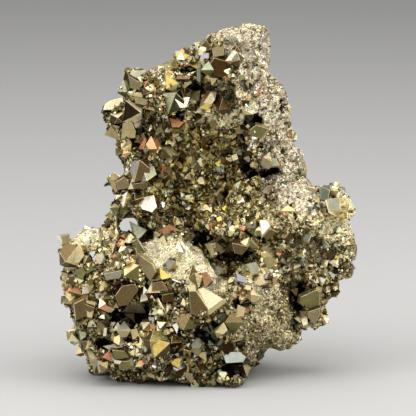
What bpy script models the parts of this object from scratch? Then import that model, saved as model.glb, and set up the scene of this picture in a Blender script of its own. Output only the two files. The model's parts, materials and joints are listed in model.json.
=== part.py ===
"""Pyrite specimen: octahedral crystals grown together on a broken mass of granular pyrite.

Run it with: blender --background --python part.py

The specimen is laid out in display coordinates, as a collector sees it from a little above:
u runs to the right, v runs up and w comes towards the viewer, all in millimetres.
to_frame() turns them into the specimen's own frame: metres, +Z up, -Y towards the viewer,
with the origin on the broken flat that it stands on, under the front of the tower.
"""

import math
import random
from dataclasses import dataclass

import bmesh
import bpy
from mathutils import Euler, Matrix, Vector, noise
from mathutils.bvhtree import BVHTree

MM = 0.001
VIEW_ELEVATION = math.radians(10.0)  # how far above the horizon the display view is

# The mass, in millimetres.
MASS_VOXEL = 2.0
MASS_CHAMFER = 5.0
MASS_SMOOTH_PASSES = 4
SWELL_SIZE, SWELL_HEIGHT = 26.0, 5.0
LEDGE_SIZE, LEDGE_HEIGHT = 10.0, 4.0
MASS_KEEP_SHARE = 0.024  # of the remeshed faces, which leaves flat fracture faces

# The druse that lines the hollow, in millimetres.
DRUSE_GAP = 0.6
DRUSE_THICKNESS = 3.2
DRUSE_RIM_DEPTH = 1.5
DRUSE_CRYSTALS = 44
DRUSE_EDGE = (2.6, 4.2)
DRUSE_SPACING = 3.4
HOLLOW_VOXEL, HOLLOW_KEEP_SHARE = 2.0, 0.06

# Crystals that are scattered between the placed ones, edge lengths in millimetres.
SCATTER_SPACING = 0.30  # of two neighbours' edges added
SCATTER_PROUD = (0.25, 0.62)  # of an edge

POCKET_UNEVENNESS = 0.35  # of a pocket's radii
SEED = 7


def to_frame(u: float, v: float, w: float) -> Vector:
    """Display coordinates in millimetres to the specimen's frame in metres."""
    sine, cosine = math.sin(VIEW_ELEVATION), math.cos(VIEW_ELEVATION)
    return Vector((u, v * sine - w * cosine, v * cosine + w * sine)) * MM


def to_display(place: Vector) -> tuple[float, float, float]:
    """A place in the specimen's frame, in metres, to display coordinates in millimetres."""
    sine, cosine = math.sin(VIEW_ELEVATION), math.cos(VIEW_ELEVATION)
    x, y, z = place / MM
    return x, y * sine + z * cosine, z * sine - y * cosine


TO_VIEWER = to_frame(0, 0, 1).normalized()


@dataclass(frozen=True)
class Block:
    """One angular block of the mass: an outline between a front and a back fracture face.

    Each face is a plane: its depth w at the outline's centre, and its slopes along u and v.
    """

    outline: tuple[tuple[float, float], ...]
    front: tuple[float, float, float]
    back: tuple[float, float, float]


BLOCKS = {
    "tower_core": Block(
        (
            (20, 172), (32, 171), (33, 154), (43, 142), (46, 122), (49, 112), (52, 97), (54, 82),
            (30, 60), (-10, 62), (-36, 72), (-40, 84), (-41, 100), (-39, 120), (-42, 131),
            (-34, 140), (-31, 150), (-18, 155), (-4, 165), (8, 170),
        ),
        (-3, 0, 0.10),
        (-33, 0.05, 0.15),
    ),
    "right_wall": Block(
        (
            (19, 173), (32, 172), (33, 153), (42, 142), (46, 122), (49, 110), (52, 97), (54, 84),
            (37, 82), (28, 100), (23, 118), (15, 136), (12, 152), (10, 169),
        ),
        (8, -0.55, 0.06),
        (-16, 0.2, 0),
    ),
    "left_rim": Block(
        (
            (-32, 150), (-19, 155), (-8, 160), (-8, 148), (-15, 137), (-21, 120), (-24, 100),
            (-26, 86), (-39, 84), (-42, 95), (-40, 112), (-41, 124), (-43, 131), (-36, 139),
        ),
        (11, 0.1, 0.05),
        (-12, 0, 0),
    ),
    "crown": Block(
        ((-11, 159), (-3, 165), (9, 171), (21, 174), (30, 162), (26, 141), (6, 142), (-9, 149)),
        (9, -0.1, -0.2),
        (-10, 0, 0),
    ),
    "left_block": Block(
        (
            (-67, 69), (-56, 72), (-44, 72), (-33, 66), (-22, 54), (-8, 46), (6, 40), (10, 25),
            (2, 5), (-20, 2), (-51, 3), (-59, 11), (-63, 23), (-66, 38), (-67, 55),
        ),
        (24, 0.12, -0.12),
        (-20, -0.1, 0.1),
    ),
    "post": Block(((-47, 90), (-39.5, 90), (-40, 66), (-47, 66)), (10, 0, 0), (-8, 0, 0)),
    "ledge": Block(
        (
            (-32, 64), (-24, 70), (-3, 70), (3, 62), (9, 52), (20, 44), (8, 34), (-8, 40),
            (-22, 48), (-34, 56),
        ),
        (20, 0, -0.55),
        (-12, 0, 0),
    ),
    "heart": Block(
        ((-26, 84), (44, 88), (46, 42), (10, 34), (-8, 36), (-22, 52), (-28, 68)),
        (-5, 0, 0),
        (-32, 0, 0),
    ),
    "lower_right": Block(
        (
            (2, 44), (16, 50), (30, 51), (46, 46), (48, 34), (47, 21), (41, 12), (33, 9),
            (24, 2), (0, 6), (-6, 20),
        ),
        (20, -0.4, 0.1),
        (-24, 0.1, 0.1),
    ),
    "foot": Block(
        (
            (-52, 5), (-30, 3), (-12, 0), (2, -6), (13, -7), (23, -2), (26, 10), (10, 22),
            (-30, 20), (-56, 14),
        ),
        (27, 0.22, 0.1),
        (-12, 0, 0),
    ),
    "base_pad": Block(
        ((-42, -4), (16, -8), (24, 2), (22, 14), (-44, 14)),
        (18, 0.1, 0),
        (-30, 0, 0),
    ),
    "right_lobe": Block(
        (
            (49, 97), (59, 95), (65, 97), (72, 92), (74, 86), (73, 76), (74, 66), (75, 57),
            (72, 48), (67, 42), (63, 33), (57, 26), (48, 22), (42, 40), (36, 60), (40, 80),
        ),
        (9, -0.2, 0.05),
        (-25, 0.2, 0.1),
    ),
    "middle": Block(
        (
            (2, 78), (18, 88), (36, 91), (50, 92), (53, 60), (46, 42), (30, 48), (20, 56),
            (12, 66), (3, 68),
        ),
        (9, 0, -0.1),
        (-28, 0, 0.1),
    ),
    "knob": Block(
        ((58, 94), (66, 98), (73, 93), (76, 88), (72, 79), (62, 78), (57, 84)),
        (14, -0.2, -0.1),
        (-10, 0, 0),
    ),
    "back_spur": Block(
        ((-28, 118), (-8, 132), (18, 122), (26, 96), (4, 74), (-26, 84)),
        (-20, 0, 0),
        (-43, 0.15, 0.2),
    ),
    "back_heel": Block(
        ((-46, 56), (-14, 62), (20, 52), (32, 24), (2, 6), (-42, 10)),
        (-10, 0, 0),
        (-36, -0.1, 0.1),
    ),
}


@dataclass(frozen=True)
class Pocket:
    """An ellipsoidal pocket: its centre and its half sizes along u, v and w."""

    centre: tuple[float, float, float]
    radii: tuple[float, float, float]


HOLLOW_POCKETS = (
    Pocket((2, 101, -2), (25, 24, 17)),
    Pocket((-11, 88, -2), (15, 12, 16)),
    Pocket((22, 113, -3), (11, 13, 13)),
)
CREVICES = (
    Pocket((17, 58.5, 9), (12, 5.5, 13)),
    Pocket((-2, 70, 8), (8, 6, 12)),
    Pocket((-2, 143, 8), (7, 6, 12)),
    Pocket((26, 127, 8), (5, 4, 9)),
    Pocket((35, 101, 4), (8, 4.5, 10)),
    Pocket((25, 103, 4), (5, 4.5, 10)),
    Pocket((-33, 31.5, 27), (10, 5, 9)),
    Pocket((-48, 17, 24), (4, 4, 8)),
    Pocket((48.5, 39, 8), (5, 9, 11)),
    Pocket((21, 37, 17), (5, 4, 8)),
)
THROUGH_HOLE = Pocket((-35.3, 75.5, 0), (5.6, 4.4, 70))


@dataclass(frozen=True)
class Zone:
    """A box of the display view in which crystals are scattered, on faces that look its way."""

    low: tuple[float, float, float]
    high: tuple[float, float, float]
    count: int
    edge: tuple[float, float]
    facing: tuple[float, float, float] = (0.0, 0.0, 1.0)
    facing_least: float = 0.0

    def holds(self, place: Vector, normal: Vector) -> bool:
        """Whether a face of the mass lies in the box and looks the zone's way."""
        u, v, w = to_display(place)
        inside = all(a < x < b for a, x, b in zip(self.low, (u, v, w), self.high))
        return inside and normal.dot(to_frame(*self.facing).normalized()) > self.facing_least


ZONES = (
    Zone((-75, -10, -60), (-5, 75, 60), 38, (4.0, 8.5), facing_least=-0.2),
    Zone((-30, -10, -10), (25, 18, 60), 10, (3.5, 7.0), facing_least=0.0),
    Zone((-52, 82, -40), (-20, 152, 60), 26, (3.5, 8.0), facing_least=-0.1),
    Zone((-25, 128, -40), (26, 176, 60), 18, (3.5, 7.0), facing_least=0.0),
    Zone((48, 40, -40), (74, 100, 60), 10, (3.5, 6.5), facing_least=0.25),
    Zone((0, 55, -40), (45, 92, 60), 9, (3.5, 6.5), facing_least=0.1),
    Zone((-90, 5, -60), (90, 180, 60), 14, (6.0, 12.0), facing=(0, 0, -1), facing_least=0.2),
)


@dataclass(frozen=True)
class Face:
    """An octahedron placed by one of its faces, as seen in the display view.

    corners are the face's corners (u, v). lean is 1 where the first corner is nearer the viewer
    than the face's middle, and -1 where it is further. proud is how far the face's middle
    stands out of the mass, in millimetres.
    """

    corners: tuple[tuple[float, float], ...]
    lean: int
    proud: float = 2.5


PLACED = (
    # upper left rim
    Face(((-51.5, 132.5), (-41, 139.5), (-40, 132.5)), -1, 1.0),
    Face(((-31, 132), (-40.5, 138), (-41, 127)), -1, 3.0),
    Face(((-38, 154), (-28, 153.5), (-31.5, 145.5)), 1),
    Face(((-38.5, 149.5), (-30.5, 145), (-36, 141.5)), -1),
    Face(((-35.5, 140.5), (-27.5, 138.5), (-33.5, 135)), 1),
    Face(((-18.5, 131), (-22.5, 141.5), (-14, 139.5)), 1, 4.0),
    Face(((-7.5, 138.5), (-16.5, 142), (-15.5, 138.5)), 1),
    Face(((-43, 128), (-33, 125), (-39.5, 116.5)), 1, 3.0),
    Face(((-27.5, 120), (-24, 113.5), (-31, 113.5)), -1, 3.0),
    Face(((-38, 110), (-43, 115), (-34.5, 116.5)), -1),
    Face(((-13.5, 123), (-17.5, 128.5), (-9.5, 129)), 1),
    # crown
    Face(((4.5, 147), (1, 159.5), (13, 156)), 1, 4.0),
    Face(((1, 160), (-2.5, 153), (5.5, 152.5)), -1),
    Face(((-1, 163.5), (-3, 159), (3, 159.5)), -1),
    Face(((4.5, 157.5), (1.5, 163), (10.5, 164.5)), 1),
    Face(((16.5, 163), (12.5, 157), (17.5, 157)), -1),
    Face(((15.5, 154), (13, 150), (17.5, 149.5)), -1, 1.5),
    Face(((11.5, 132), (3.5, 141), (8, 140.5)), 1),
    Face(((-1, 135.5), (1, 143.5), (3.5, 141.5)), 1),
    # right wall and the hollow's upper rim
    Face(((26.5, 116), (21, 123.5), (33.5, 125)), 1, 2.0),
    Face(((-3.5, 122.5), (3.5, 123.5), (0, 117)), 1, 2.0),
    # left of the hollow, above the hole
    Face(((-46, 98), (-37, 98.5), (-42, 90.5)), 1, 3.0),
    Face(((-26, 98.5), (-28, 91.5), (-31, 93)), 1),
    Face(((-31.5, 82.5), (-34.5, 88), (-24, 90.5)), 1, 4.0),
    Face(((-24, 78), (-23.5, 90), (-31, 82.5)), -1, 2.5),
    Face(((-35.5, 65.5), (-37, 77), (-28.5, 72.5)), -1, 4.0),
    Face(((-16.5, 76), (-23.5, 72), (-11, 71.5)), -1, 3.0),
    # the post between the through hole and the left edge
    Face(((-45.5, 71), (-40.5, 72.5), (-43.5, 76.5)), 1, 1.5),
    Face(((-45, 84), (-40, 84.5), (-42, 80)), 1, 1.5),
    # left block, upper half
    Face(((-61, 56), (-67.5, 55), (-67.5, 65)), 1, 1.0),
    Face(((-69.5, 65), (-66.5, 71), (-63.5, 66)), 1, 1.0),
    Face(((-66, 52), (-60, 48), (-62, 55)), 1, 2.0),
    Face(((-63.5, 46), (-67, 42.5), (-62, 40)), -1, 2.0),
    Face(((-67.5, 37.5), (-70.5, 41), (-64.5, 40.5)), 1, 1.5),
    Face(((-28, 43), (-37.5, 61), (-24.5, 60)), 1, 3.5),
    Face(((-40.5, 50), (-33.5, 55.5), (-33, 47)), 1, 3.5),
    Face(((-41, 30.5), (-47, 43), (-33, 45)), 1, 4.0),
    Face(((-52.5, 48.5), (-42, 53), (-43.5, 45.5)), -1),
    Face(((-33.5, 38), (-30.5, 43.5), (-27.5, 38)), -1, 3.0),
    Face(((-27.5, 42), (-23.5, 48), (-18.5, 42.5)), 1, 3.0),
    Face(((-16.5, 32), (-22.5, 41.5), (-11.5, 40)), 1, 2.0),
    Face(((-51, 34), (-46, 37.5), (-45, 32)), -1, 3.0),
    # the largest crystal, at the ledge's foot
    Face(((2, 31.5), (-5, 44.5), (10.5, 39.5)), 1, 8.0),
    Face(((-7.5, 32), (-7.5, 22.5), (-11.5, 22.5)), -1, 2.0),
    # left block, lower half
    Face(((-63.5, 22), (-60.5, 24.5), (-59.5, 17.5)), 1, 2.5),
    Face(((-43.5, 23), (-41, 28.5), (-38, 23)), -1, 3.0),
    Face(((-17, 25.5), (-13.5, 27.5), (-14, 20)), 1, 3.0),
    Face(((-55, 0), (-57.5, 12), (-51, 8)), -1, 2.0),
    Face(((-46.5, 13), (-51.5, 9), (-44, 6.5)), -1, 2.5),
    Face(((-41.5, 6), (-46.5, 13), (-37.5, 13)), 1, 2.0),
    Face(((-22.5, 3), (-29.5, 16), (-14.5, 16)), 1, 3.5),
    Face(((-30.5, 9.5), (-26.5, 9), (-28, 5.5)), 1, 2.5),
    Face(((-13.5, 11.5), (-12, 15.5), (-8.5, 14)), 1, 2.5),
    # lower right mass
    Face(((13.5, 16.5), (8.5, 27.5), (19, 27.5)), 1, 2.0),
    Face(((-0.5, 43.5), (-2.5, 52), (4, 49.5)), 1, 1.5),
    Face(((20, 44.5), (14.5, 49.5), (22, 50)), 1, 1.5),
    Face(((21, 44.5), (26, 46.5), (28.5, 39)), 1, 2.0),
    # right lobe
    Face(((52, 31.5), (46.5, 39.5), (58.5, 43.5)), 1, 4.0),
    Face(((54, 24.5), (51, 32.5), (58, 34.5)), 1, 3.0),
    Face(((51, 25), (47, 29), (52, 31)), 1, 1.5),
    Face(((64, 81.5), (62, 88.5), (70, 86.5)), 1, 2.0),
    Face(((61.5, 87.5), (58.5, 94), (64.5, 95)), 1, 1.5),
    # middle
    Face(((28, 70), (27, 78.5), (33, 76)), 1, 3.0),
    Face(((36, 69.5), (33, 75.5), (28, 70)), -1, 2.5),
    Face(((20, 62), (14.5, 68), (21, 70)), 1, 3.0),
    Face(((24.5, 69.5), (22.5, 64.5), (27.5, 64.5)), -1, 2.5),
    Face(((10.5, 70), (7.5, 67.5), (14.5, 63)), -1, 2.5),
)


def clear_scene() -> None:
    """Removes the objects of the scene that Blender starts with."""
    for obj in list(bpy.data.objects):
        bpy.data.objects.remove(obj)


def metal(name: str, colour: tuple[float, float, float], roughness: float) -> bpy.types.Material:
    """A metallic Principled material."""
    material = bpy.data.materials.new(name)
    material.use_nodes = True
    shader = material.node_tree.nodes["Principled BSDF"]
    shader.inputs["Base Color"].default_value = (*colour, 1.0)
    shader.inputs["Roughness"].default_value = roughness
    shader.inputs["Metallic"].default_value = 1.0
    return material


def add_object(name: str, mesh: bpy.types.Mesh, helper: bool = False) -> bpy.types.Object:
    """Links a mesh to the scene. A helper isn't part of the specimen."""
    obj = bpy.data.objects.new(name, mesh)
    bpy.context.scene.collection.objects.link(obj)
    if helper:
        obj.hide_render = True
        obj.display_type = "WIRE"
    return obj


def mesh_of(name: str, points: list[Vector], faces: list[tuple[int, ...]]) -> bpy.types.Mesh:
    """A mesh from its points and faces."""
    mesh = bpy.data.meshes.new(name)
    mesh.from_pydata(points, [], faces)
    mesh.validate()
    return mesh


def evaluated_mesh(obj: bpy.types.Object) -> bpy.types.Mesh:
    """A plain copy of an object's mesh with its modifiers applied."""
    graph = bpy.context.evaluated_depsgraph_get()
    return bpy.data.meshes.new_from_object(obj.evaluated_get(graph), depsgraph=graph)


def boolean(obj: bpy.types.Object, other: bpy.types.Object, operation: str) -> None:
    """Adds a Boolean modifier named after the other object."""
    modifier = obj.modifiers.new(other.name, "BOOLEAN")
    modifier.operation = operation
    modifier.object = other


def plane_depth(plane: tuple[float, float, float], u: float, v: float, centre: Vector) -> float:
    """Depth w of a sloping fracture face at (u, v)."""
    depth, slope_u, slope_v = plane
    return depth + slope_u * (u - centre.x) + slope_v * (v - centre.y)


def block_shell(block: Block, first: int) -> tuple[list[Vector], list[tuple[int, ...]]]:
    """Points and faces of one chamfered block, its faces numbered from the point first."""
    corners = [Vector(c) for c in block.outline]
    centre = sum(corners, Vector((0, 0))) / len(corners)
    reach = max((c - centre).length for c in corners)
    inset = 1 - MASS_CHAMFER / reach
    count = len(corners)
    points = []
    for plane, share, back_off in (
        (block.front, inset, 0.0),
        (block.front, 1.0, -MASS_CHAMFER),
        (block.back, 1.0, MASS_CHAMFER),
        (block.back, inset, 0.0),
    ):
        for corner in corners:
            u, v = centre + (corner - centre) * share
            points.append(to_frame(u, v, plane_depth(plane, u, v, centre) + back_off))
    faces = [tuple(first + i for i in range(count))]
    for ring in range(3):
        a = first + ring * count
        for i in range(count):
            j = (i + 1) % count
            faces.append((a + i, a + count + i, a + count + j, a + j))
    faces.append(tuple(first + 3 * count + i for i in reversed(range(count))))
    return points, faces


def build_mass() -> bpy.types.Object:
    """The broken mass: blocks run together, roughened, and thinned to flat fracture faces."""
    points: list[Vector] = []
    faces: list[tuple[int, ...]] = []
    for block in BLOCKS.values():
        more_points, more_faces = block_shell(block, len(points))
        points += more_points
        faces += more_faces
    blocks = add_object("mass_blocks", mesh_of("mass_blocks", points, faces), helper=True)
    remesh = blocks.modifiers.new("run_together", "REMESH")
    remesh.mode = "VOXEL"
    remesh.voxel_size = MASS_VOXEL * MM
    smooth = blocks.modifiers.new("soften", "SMOOTH")
    smooth.iterations = MASS_SMOOTH_PASSES
    mesh = evaluated_mesh(blocks)
    bpy.data.objects.remove(blocks)
    mesh.update()
    for vertex, normal in [(v, v.normal.copy()) for v in mesh.vertices]:
        vertex.co += normal * roughness_at(vertex.co)
    mass = add_object("crystal_cluster", mesh)
    again = mass.modifiers.new("close_folds", "REMESH")
    again.mode = "VOXEL"
    again.voxel_size = MASS_VOXEL * MM
    thin = mass.modifiers.new("fracture_faces", "DECIMATE")
    thin.ratio = MASS_KEEP_SHARE
    return mass


def roughness_at(place: Vector) -> float:
    """How far the broken surface stands out at a place, in metres: swells, and ledges between flats."""
    swell = noise.noise(place / (SWELL_SIZE * MM)) * SWELL_HEIGHT
    cell = noise.voronoi(place / (LEDGE_SIZE * MM))[1][0]
    ledge = (noise.cell(cell * 5.0) - 0.5) * LEDGE_HEIGHT
    return (swell + ledge) * MM


def pocket_helper(name: str, pockets: tuple[Pocket, ...], detail: int) -> bpy.types.Object:
    """Uneven pockets in one helper, one shell each."""
    body = bmesh.new()
    for pocket in pockets:
        made = bmesh.ops.create_icosphere(body, subdivisions=detail, radius=1.0)
        for vertex in made["verts"]:
            uneven = 1 + POCKET_UNEVENNESS * noise.noise(vertex.co * 1.7 + Vector(pocket.centre))
            place = [c + r * uneven * x for c, r, x in zip(pocket.centre, pocket.radii, vertex.co)]
            vertex.co = to_frame(*place)
    mesh = bpy.data.meshes.new(name)
    body.to_mesh(mesh)
    body.free()
    return add_object(name, mesh, helper=True)


def hollow_helper(name: str, shrink: float) -> bpy.types.Object:
    """The hollow's pockets run together into one closed helper with flat facets.

    Each of its corners is moved in by shrink, so helpers with other amounts lie one in another.
    """
    rough = pocket_helper(name + "_rough", HOLLOW_POCKETS, 3)
    remesh = rough.modifiers.new("run_together", "REMESH")
    remesh.mode = "VOXEL"
    remesh.voxel_size = HOLLOW_VOXEL * MM
    thin = rough.modifiers.new("facets", "DECIMATE")
    thin.ratio = HOLLOW_KEEP_SHARE
    mesh = evaluated_mesh(rough)
    bpy.data.objects.remove(rough)
    for vertex, normal in [(v, v.normal.copy()) for v in mesh.vertices]:
        vertex.co -= normal * shrink * MM
    return add_object(name, mesh, helper=True)


def face_heights(face: Face) -> tuple[float, float]:
    """How much nearer the viewer the face's second and third corners are than its first.

    The face is equilateral, so its outline as seen gives its edge, and from that the heights.
    """
    first, second, third = (Vector(c) for c in face.corners)
    to_second, to_third = second - first, third - first
    a, b, c = to_second.length_squared, to_third.length_squared, to_second.dot(to_third)
    total = a + b - c
    edge_squared = (total + math.sqrt(max(0.0, total**2 - 3 * (a * b - c * c)))) / 1.5
    rise_second = math.sqrt(max(0.0, edge_squared - a))
    rise_third = math.sqrt(max(0.0, edge_squared - b))
    if edge_squared / 2 - c < 0:
        rise_third = -rise_third
    if (rise_second + rise_third) * face.lean > 0:
        return -rise_second, -rise_third
    return rise_second, rise_third


def octahedron_on(face: list[Vector]) -> list[Vector]:
    """The six corners of the octahedron that has this face, which looks towards the viewer."""
    middle = sum(face, Vector()) / 3
    edge = (face[1] - face[0]).length
    normal = (face[1] - face[0]).cross(face[2] - face[0]).normalized()
    if normal.z < 0:
        normal = -normal
    centre = middle - normal * edge / math.sqrt(6)
    return face + [centre * 2 - corner for corner in face]


def placed_octahedron(face: Face, surface: BVHTree) -> list[Vector]:
    """A placed crystal's six corners in the specimen's frame."""
    heights = (0.0, *face_heights(face))
    points = [Vector((u, v, w)) for (u, v), w in zip(face.corners, heights)]
    points = octahedron_on(points)
    middle = sum(points[:3], Vector()) / 3
    depth = surface_depth(surface, middle.x, middle.y)
    shift = Vector((0, 0, depth + face.proud - middle.z))
    return [to_frame(*(point + shift)) for point in points]


def surface_depth(surface: BVHTree, u: float, v: float) -> float:
    """Depth w of the mass under a place in the display view, or of its nearest point beside it."""
    start = to_frame(u, v, 200.0)
    hit = surface.ray_cast(start, -TO_VIEWER)[0]
    if hit is None:
        hit = surface.find_nearest(to_frame(u, v, 0.0))[0]
    return hit.dot(TO_VIEWER) / MM


def add_octahedron(body: bmesh.types.BMesh, corners: list[Vector], grow: float = 0.0) -> None:
    """Adds an octahedron whose first three corners are one face, its faces grow metres further out."""
    centre = sum(corners, Vector()) / 6
    edge = (corners[1] - corners[0]).length
    scale = 1 + grow * math.sqrt(6) / edge
    points = [body.verts.new(centre + (corner - centre) * scale) for corner in corners]
    shell = bmesh.ops.convex_hull(body, input=points)
    faces = [part for part in shell["geom"] if isinstance(part, bmesh.types.BMFace)]
    bmesh.ops.recalc_face_normals(body, faces=faces)


def crystal_helper(name: str, crystals: list[list[Vector]], grow: float = 0.0) -> bpy.types.Object:
    """Octahedra in one helper, one shell each."""
    body = bmesh.new()
    for corners in crystals:
        add_octahedron(body, corners, grow)
    mesh = bpy.data.meshes.new(name)
    body.to_mesh(mesh)
    body.free()
    return add_object(name, mesh, helper=True)


def turned_octahedron(centre: Vector, edge: float, turn: Euler) -> list[Vector]:
    """The six corners of an octahedron about its centre, the first three on one face."""
    reach = edge / math.sqrt(2)
    axes = [Vector((reach, 0, 0)), Vector((0, reach, 0)), Vector((0, 0, reach))]
    for axis in axes:
        axis.rotate(turn)
    return [centre + axis for axis in axes] + [centre - axis for axis in axes]


def tree_of(obj: bpy.types.Object) -> BVHTree:
    """A search tree of an object's evaluated mesh."""
    graph = bpy.context.evaluated_depsgraph_get()
    return BVHTree.FromObject(obj, graph)


def random_turn(chance: random.Random) -> Euler:
    """A random orientation."""
    return Euler([chance.uniform(0, 2 * math.pi) for _ in range(3)])


def scattered_crystals(
    mass: bpy.types.Object, zones: tuple[Zone, ...], taken: list[list[Vector]], chance: random.Random
) -> list[list[Vector]]:
    """Octahedra seated at random on the mass's faces within the zones, clear of those taken."""
    mesh = evaluated_mesh(mass)
    centres = [(sum(c, Vector()) / 6, (c[1] - c[0]).length) for c in taken]
    found = []
    for zone in zones:
        seats = [p for p in mesh.polygons if zone.holds(p.center, p.normal)]
        weights = [seat.area for seat in seats]
        made = 0
        for seat in chance.choices(seats, weights, k=zone.count * 12):
            if made == zone.count:
                break
            edge = chance.uniform(*zone.edge) * MM
            corners = [mesh.vertices[i].co for i in seat.vertices]
            shares = [chance.random() for _ in corners]
            place = sum((c * s for c, s in zip(corners, shares)), Vector()) / sum(shares)
            corners = turned_octahedron(place, edge, random_turn(chance))
            reach = max((corner - place).dot(seat.normal) for corner in corners)
            sunk = seat.normal * (edge * chance.uniform(*SCATTER_PROUD) - reach)
            centre = place + sunk
            if any((centre - c).length < SCATTER_SPACING * (edge + e) for c, e in centres):
                continue
            centres.append((centre, edge))
            found.append([corner + sunk for corner in corners])
            made += 1
    bpy.data.meshes.remove(mesh)
    return found


def largest_piece(mesh: bpy.types.Mesh) -> None:
    """Keeps only the largest closed piece of a mesh."""
    body = bmesh.new()
    body.from_mesh(mesh)
    left = set(body.verts)
    pieces = []
    while left:
        start = min(left, key=lambda vertex: vertex.index)
        piece = {start}
        edge_of_piece = [start]
        while edge_of_piece:
            vertex = edge_of_piece.pop()
            for edge in vertex.link_edges:
                other = edge.other_vert(vertex)
                if other not in piece:
                    piece.add(other)
                    edge_of_piece.append(other)
        left -= piece
        pieces.append(piece)
    keep = max(pieces, key=len)
    bmesh.ops.delete(body, geom=[v for v in body.verts if v not in keep], context="VERTS")
    body.to_mesh(mesh)
    body.free()


def freeze(obj: bpy.types.Object) -> None:
    """Applies an object's modifiers and keeps its largest piece."""
    mesh = evaluated_mesh(obj)
    obj.modifiers.clear()
    obj.data = mesh
    largest_piece(mesh)


def base_helper() -> bpy.types.Object:
    """Everything below the flat that the specimen stands on."""
    body = bmesh.new()
    bmesh.ops.create_cube(body, size=0.4)
    bmesh.ops.translate(body, verts=body.verts, vec=(0.0, 0.0, -0.2))
    mesh = bpy.data.meshes.new("below_base")
    body.to_mesh(mesh)
    body.free()
    return add_object("below_base", mesh, helper=True)


def druse_seats(inside: bpy.types.Object, chance: random.Random) -> list[list[Vector]]:
    """Small octahedra seated on the druse's inner face, apart from each other."""
    tree = tree_of(inside)
    seats: list[list[Vector]] = []
    for _ in range(DRUSE_CRYSTALS * 8):
        if len(seats) == DRUSE_CRYSTALS:
            break
        pocket = chance.choice(HOLLOW_POCKETS)
        share = [chance.uniform(-0.9, 0.9) for _ in range(2)]
        u, v = (c + r * x for c, r, x in zip(pocket.centre, pocket.radii, share))
        hit = tree.ray_cast(to_frame(u, v, pocket.centre[2]), -TO_VIEWER)[0]
        if hit is None or any((hit - sum(o, Vector()) / 6).length < DRUSE_SPACING * MM for o in seats):
            continue
        edge = chance.uniform(*DRUSE_EDGE) * MM
        seats.append(turned_octahedron(hit, edge, random_turn(chance)))
    return seats


def build_druse(uncut: bpy.types.Mesh, crystals: list[list[Vector]]) -> bpy.types.Object:
    """The crust of small crystals that lines the hollow, up to just inside its rim.

    uncut is the mass before the hollow, and crystals are those that the crust grows around.
    """
    druse = hollow_helper("hollow_druse", DRUSE_GAP)
    druse.hide_render = False
    druse.display_type = "TEXTURED"
    inside = hollow_helper("druse_inside", DRUSE_GAP + DRUSE_THICKNESS)
    boolean(druse, inside, "DIFFERENCE")
    seats = druse_seats(inside, random.Random(SEED + 1))
    boolean(druse, crystal_helper("druse_crystals", seats), "UNION")
    druse.modifiers["druse_crystals"].use_self = True
    within_rim = uncut.copy()
    within_rim.transform(Matrix.Translation(-TO_VIEWER * DRUSE_RIM_DEPTH * MM))
    boolean(druse, add_object("within_rim", within_rim, helper=True), "INTERSECT")
    boolean(druse, crystal_helper("crystal_room", crystals, DRUSE_GAP * MM), "DIFFERENCE")
    druse.modifiers["crystal_room"].use_self = True
    freeze(druse)
    return druse


def build_cluster() -> tuple[bpy.types.Object, bpy.types.Mesh, list[list[Vector]]]:
    """The mass with its crystals, the mass before any cut, and the crystals."""
    mass = build_mass()
    freeze(mass)
    uncut = mass.data.copy()
    for index, crevice in enumerate(CREVICES):
        boolean(mass, pocket_helper(f"crevice_{index}", (crevice,), 2), "DIFFERENCE")
    boolean(mass, hollow_helper("hollow", 0.0), "DIFFERENCE")
    freeze(mass)
    surface = tree_of(mass)
    crystals = [placed_octahedron(face, surface) for face in PLACED]
    crystals += scattered_crystals(mass, ZONES, crystals, random.Random(SEED))
    boolean(mass, crystal_helper("crystals", crystals), "UNION")
    mass.modifiers["crystals"].use_self = True
    boolean(mass, pocket_helper("through_hole", (THROUGH_HOLE,), 2), "DIFFERENCE")
    boolean(mass, base_helper(), "DIFFERENCE")
    freeze(mass)
    return mass, uncut, crystals


def main() -> None:
    """Builds the specimen."""
    clear_scene()
    cluster, uncut, crystals = build_cluster()
    cluster.data.materials.clear()
    cluster.data.materials.append(metal("pyrite", (0.72, 0.62, 0.40), 0.35))
    druse = build_druse(uncut, crystals)
    druse.data.materials.clear()
    druse.data.materials.append(metal("druse_pyrite", (0.42, 0.34, 0.20), 0.3))


main()
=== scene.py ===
"""Dressed model of a pyrite specimen: octahedral crystals grown together on a granular mass."""

import json
import logging
import math
from collections.abc import Callable, Iterable, Sequence
from dataclasses import dataclass, field
from enum import Enum

import bmesh
import bpy
import numpy as np
from mathutils import Matrix, Vector, noise
from mathutils.bvhtree import BVHTree

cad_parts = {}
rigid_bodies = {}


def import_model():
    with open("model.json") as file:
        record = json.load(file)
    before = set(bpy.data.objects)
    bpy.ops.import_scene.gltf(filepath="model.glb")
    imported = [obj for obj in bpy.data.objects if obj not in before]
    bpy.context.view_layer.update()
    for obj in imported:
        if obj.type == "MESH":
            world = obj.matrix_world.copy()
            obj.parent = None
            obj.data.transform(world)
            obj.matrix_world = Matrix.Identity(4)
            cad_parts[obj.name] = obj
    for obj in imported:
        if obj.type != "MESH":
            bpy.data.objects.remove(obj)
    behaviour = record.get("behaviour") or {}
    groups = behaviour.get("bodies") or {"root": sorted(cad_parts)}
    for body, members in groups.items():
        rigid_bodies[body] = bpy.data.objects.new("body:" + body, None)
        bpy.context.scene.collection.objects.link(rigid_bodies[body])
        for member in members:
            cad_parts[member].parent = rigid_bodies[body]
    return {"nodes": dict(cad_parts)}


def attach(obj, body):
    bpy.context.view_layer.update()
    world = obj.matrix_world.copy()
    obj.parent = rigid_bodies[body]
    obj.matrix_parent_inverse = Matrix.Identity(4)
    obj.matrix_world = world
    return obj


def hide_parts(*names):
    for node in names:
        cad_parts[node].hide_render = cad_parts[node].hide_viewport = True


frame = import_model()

LOG = logging.getLogger("pyrite")

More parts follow.
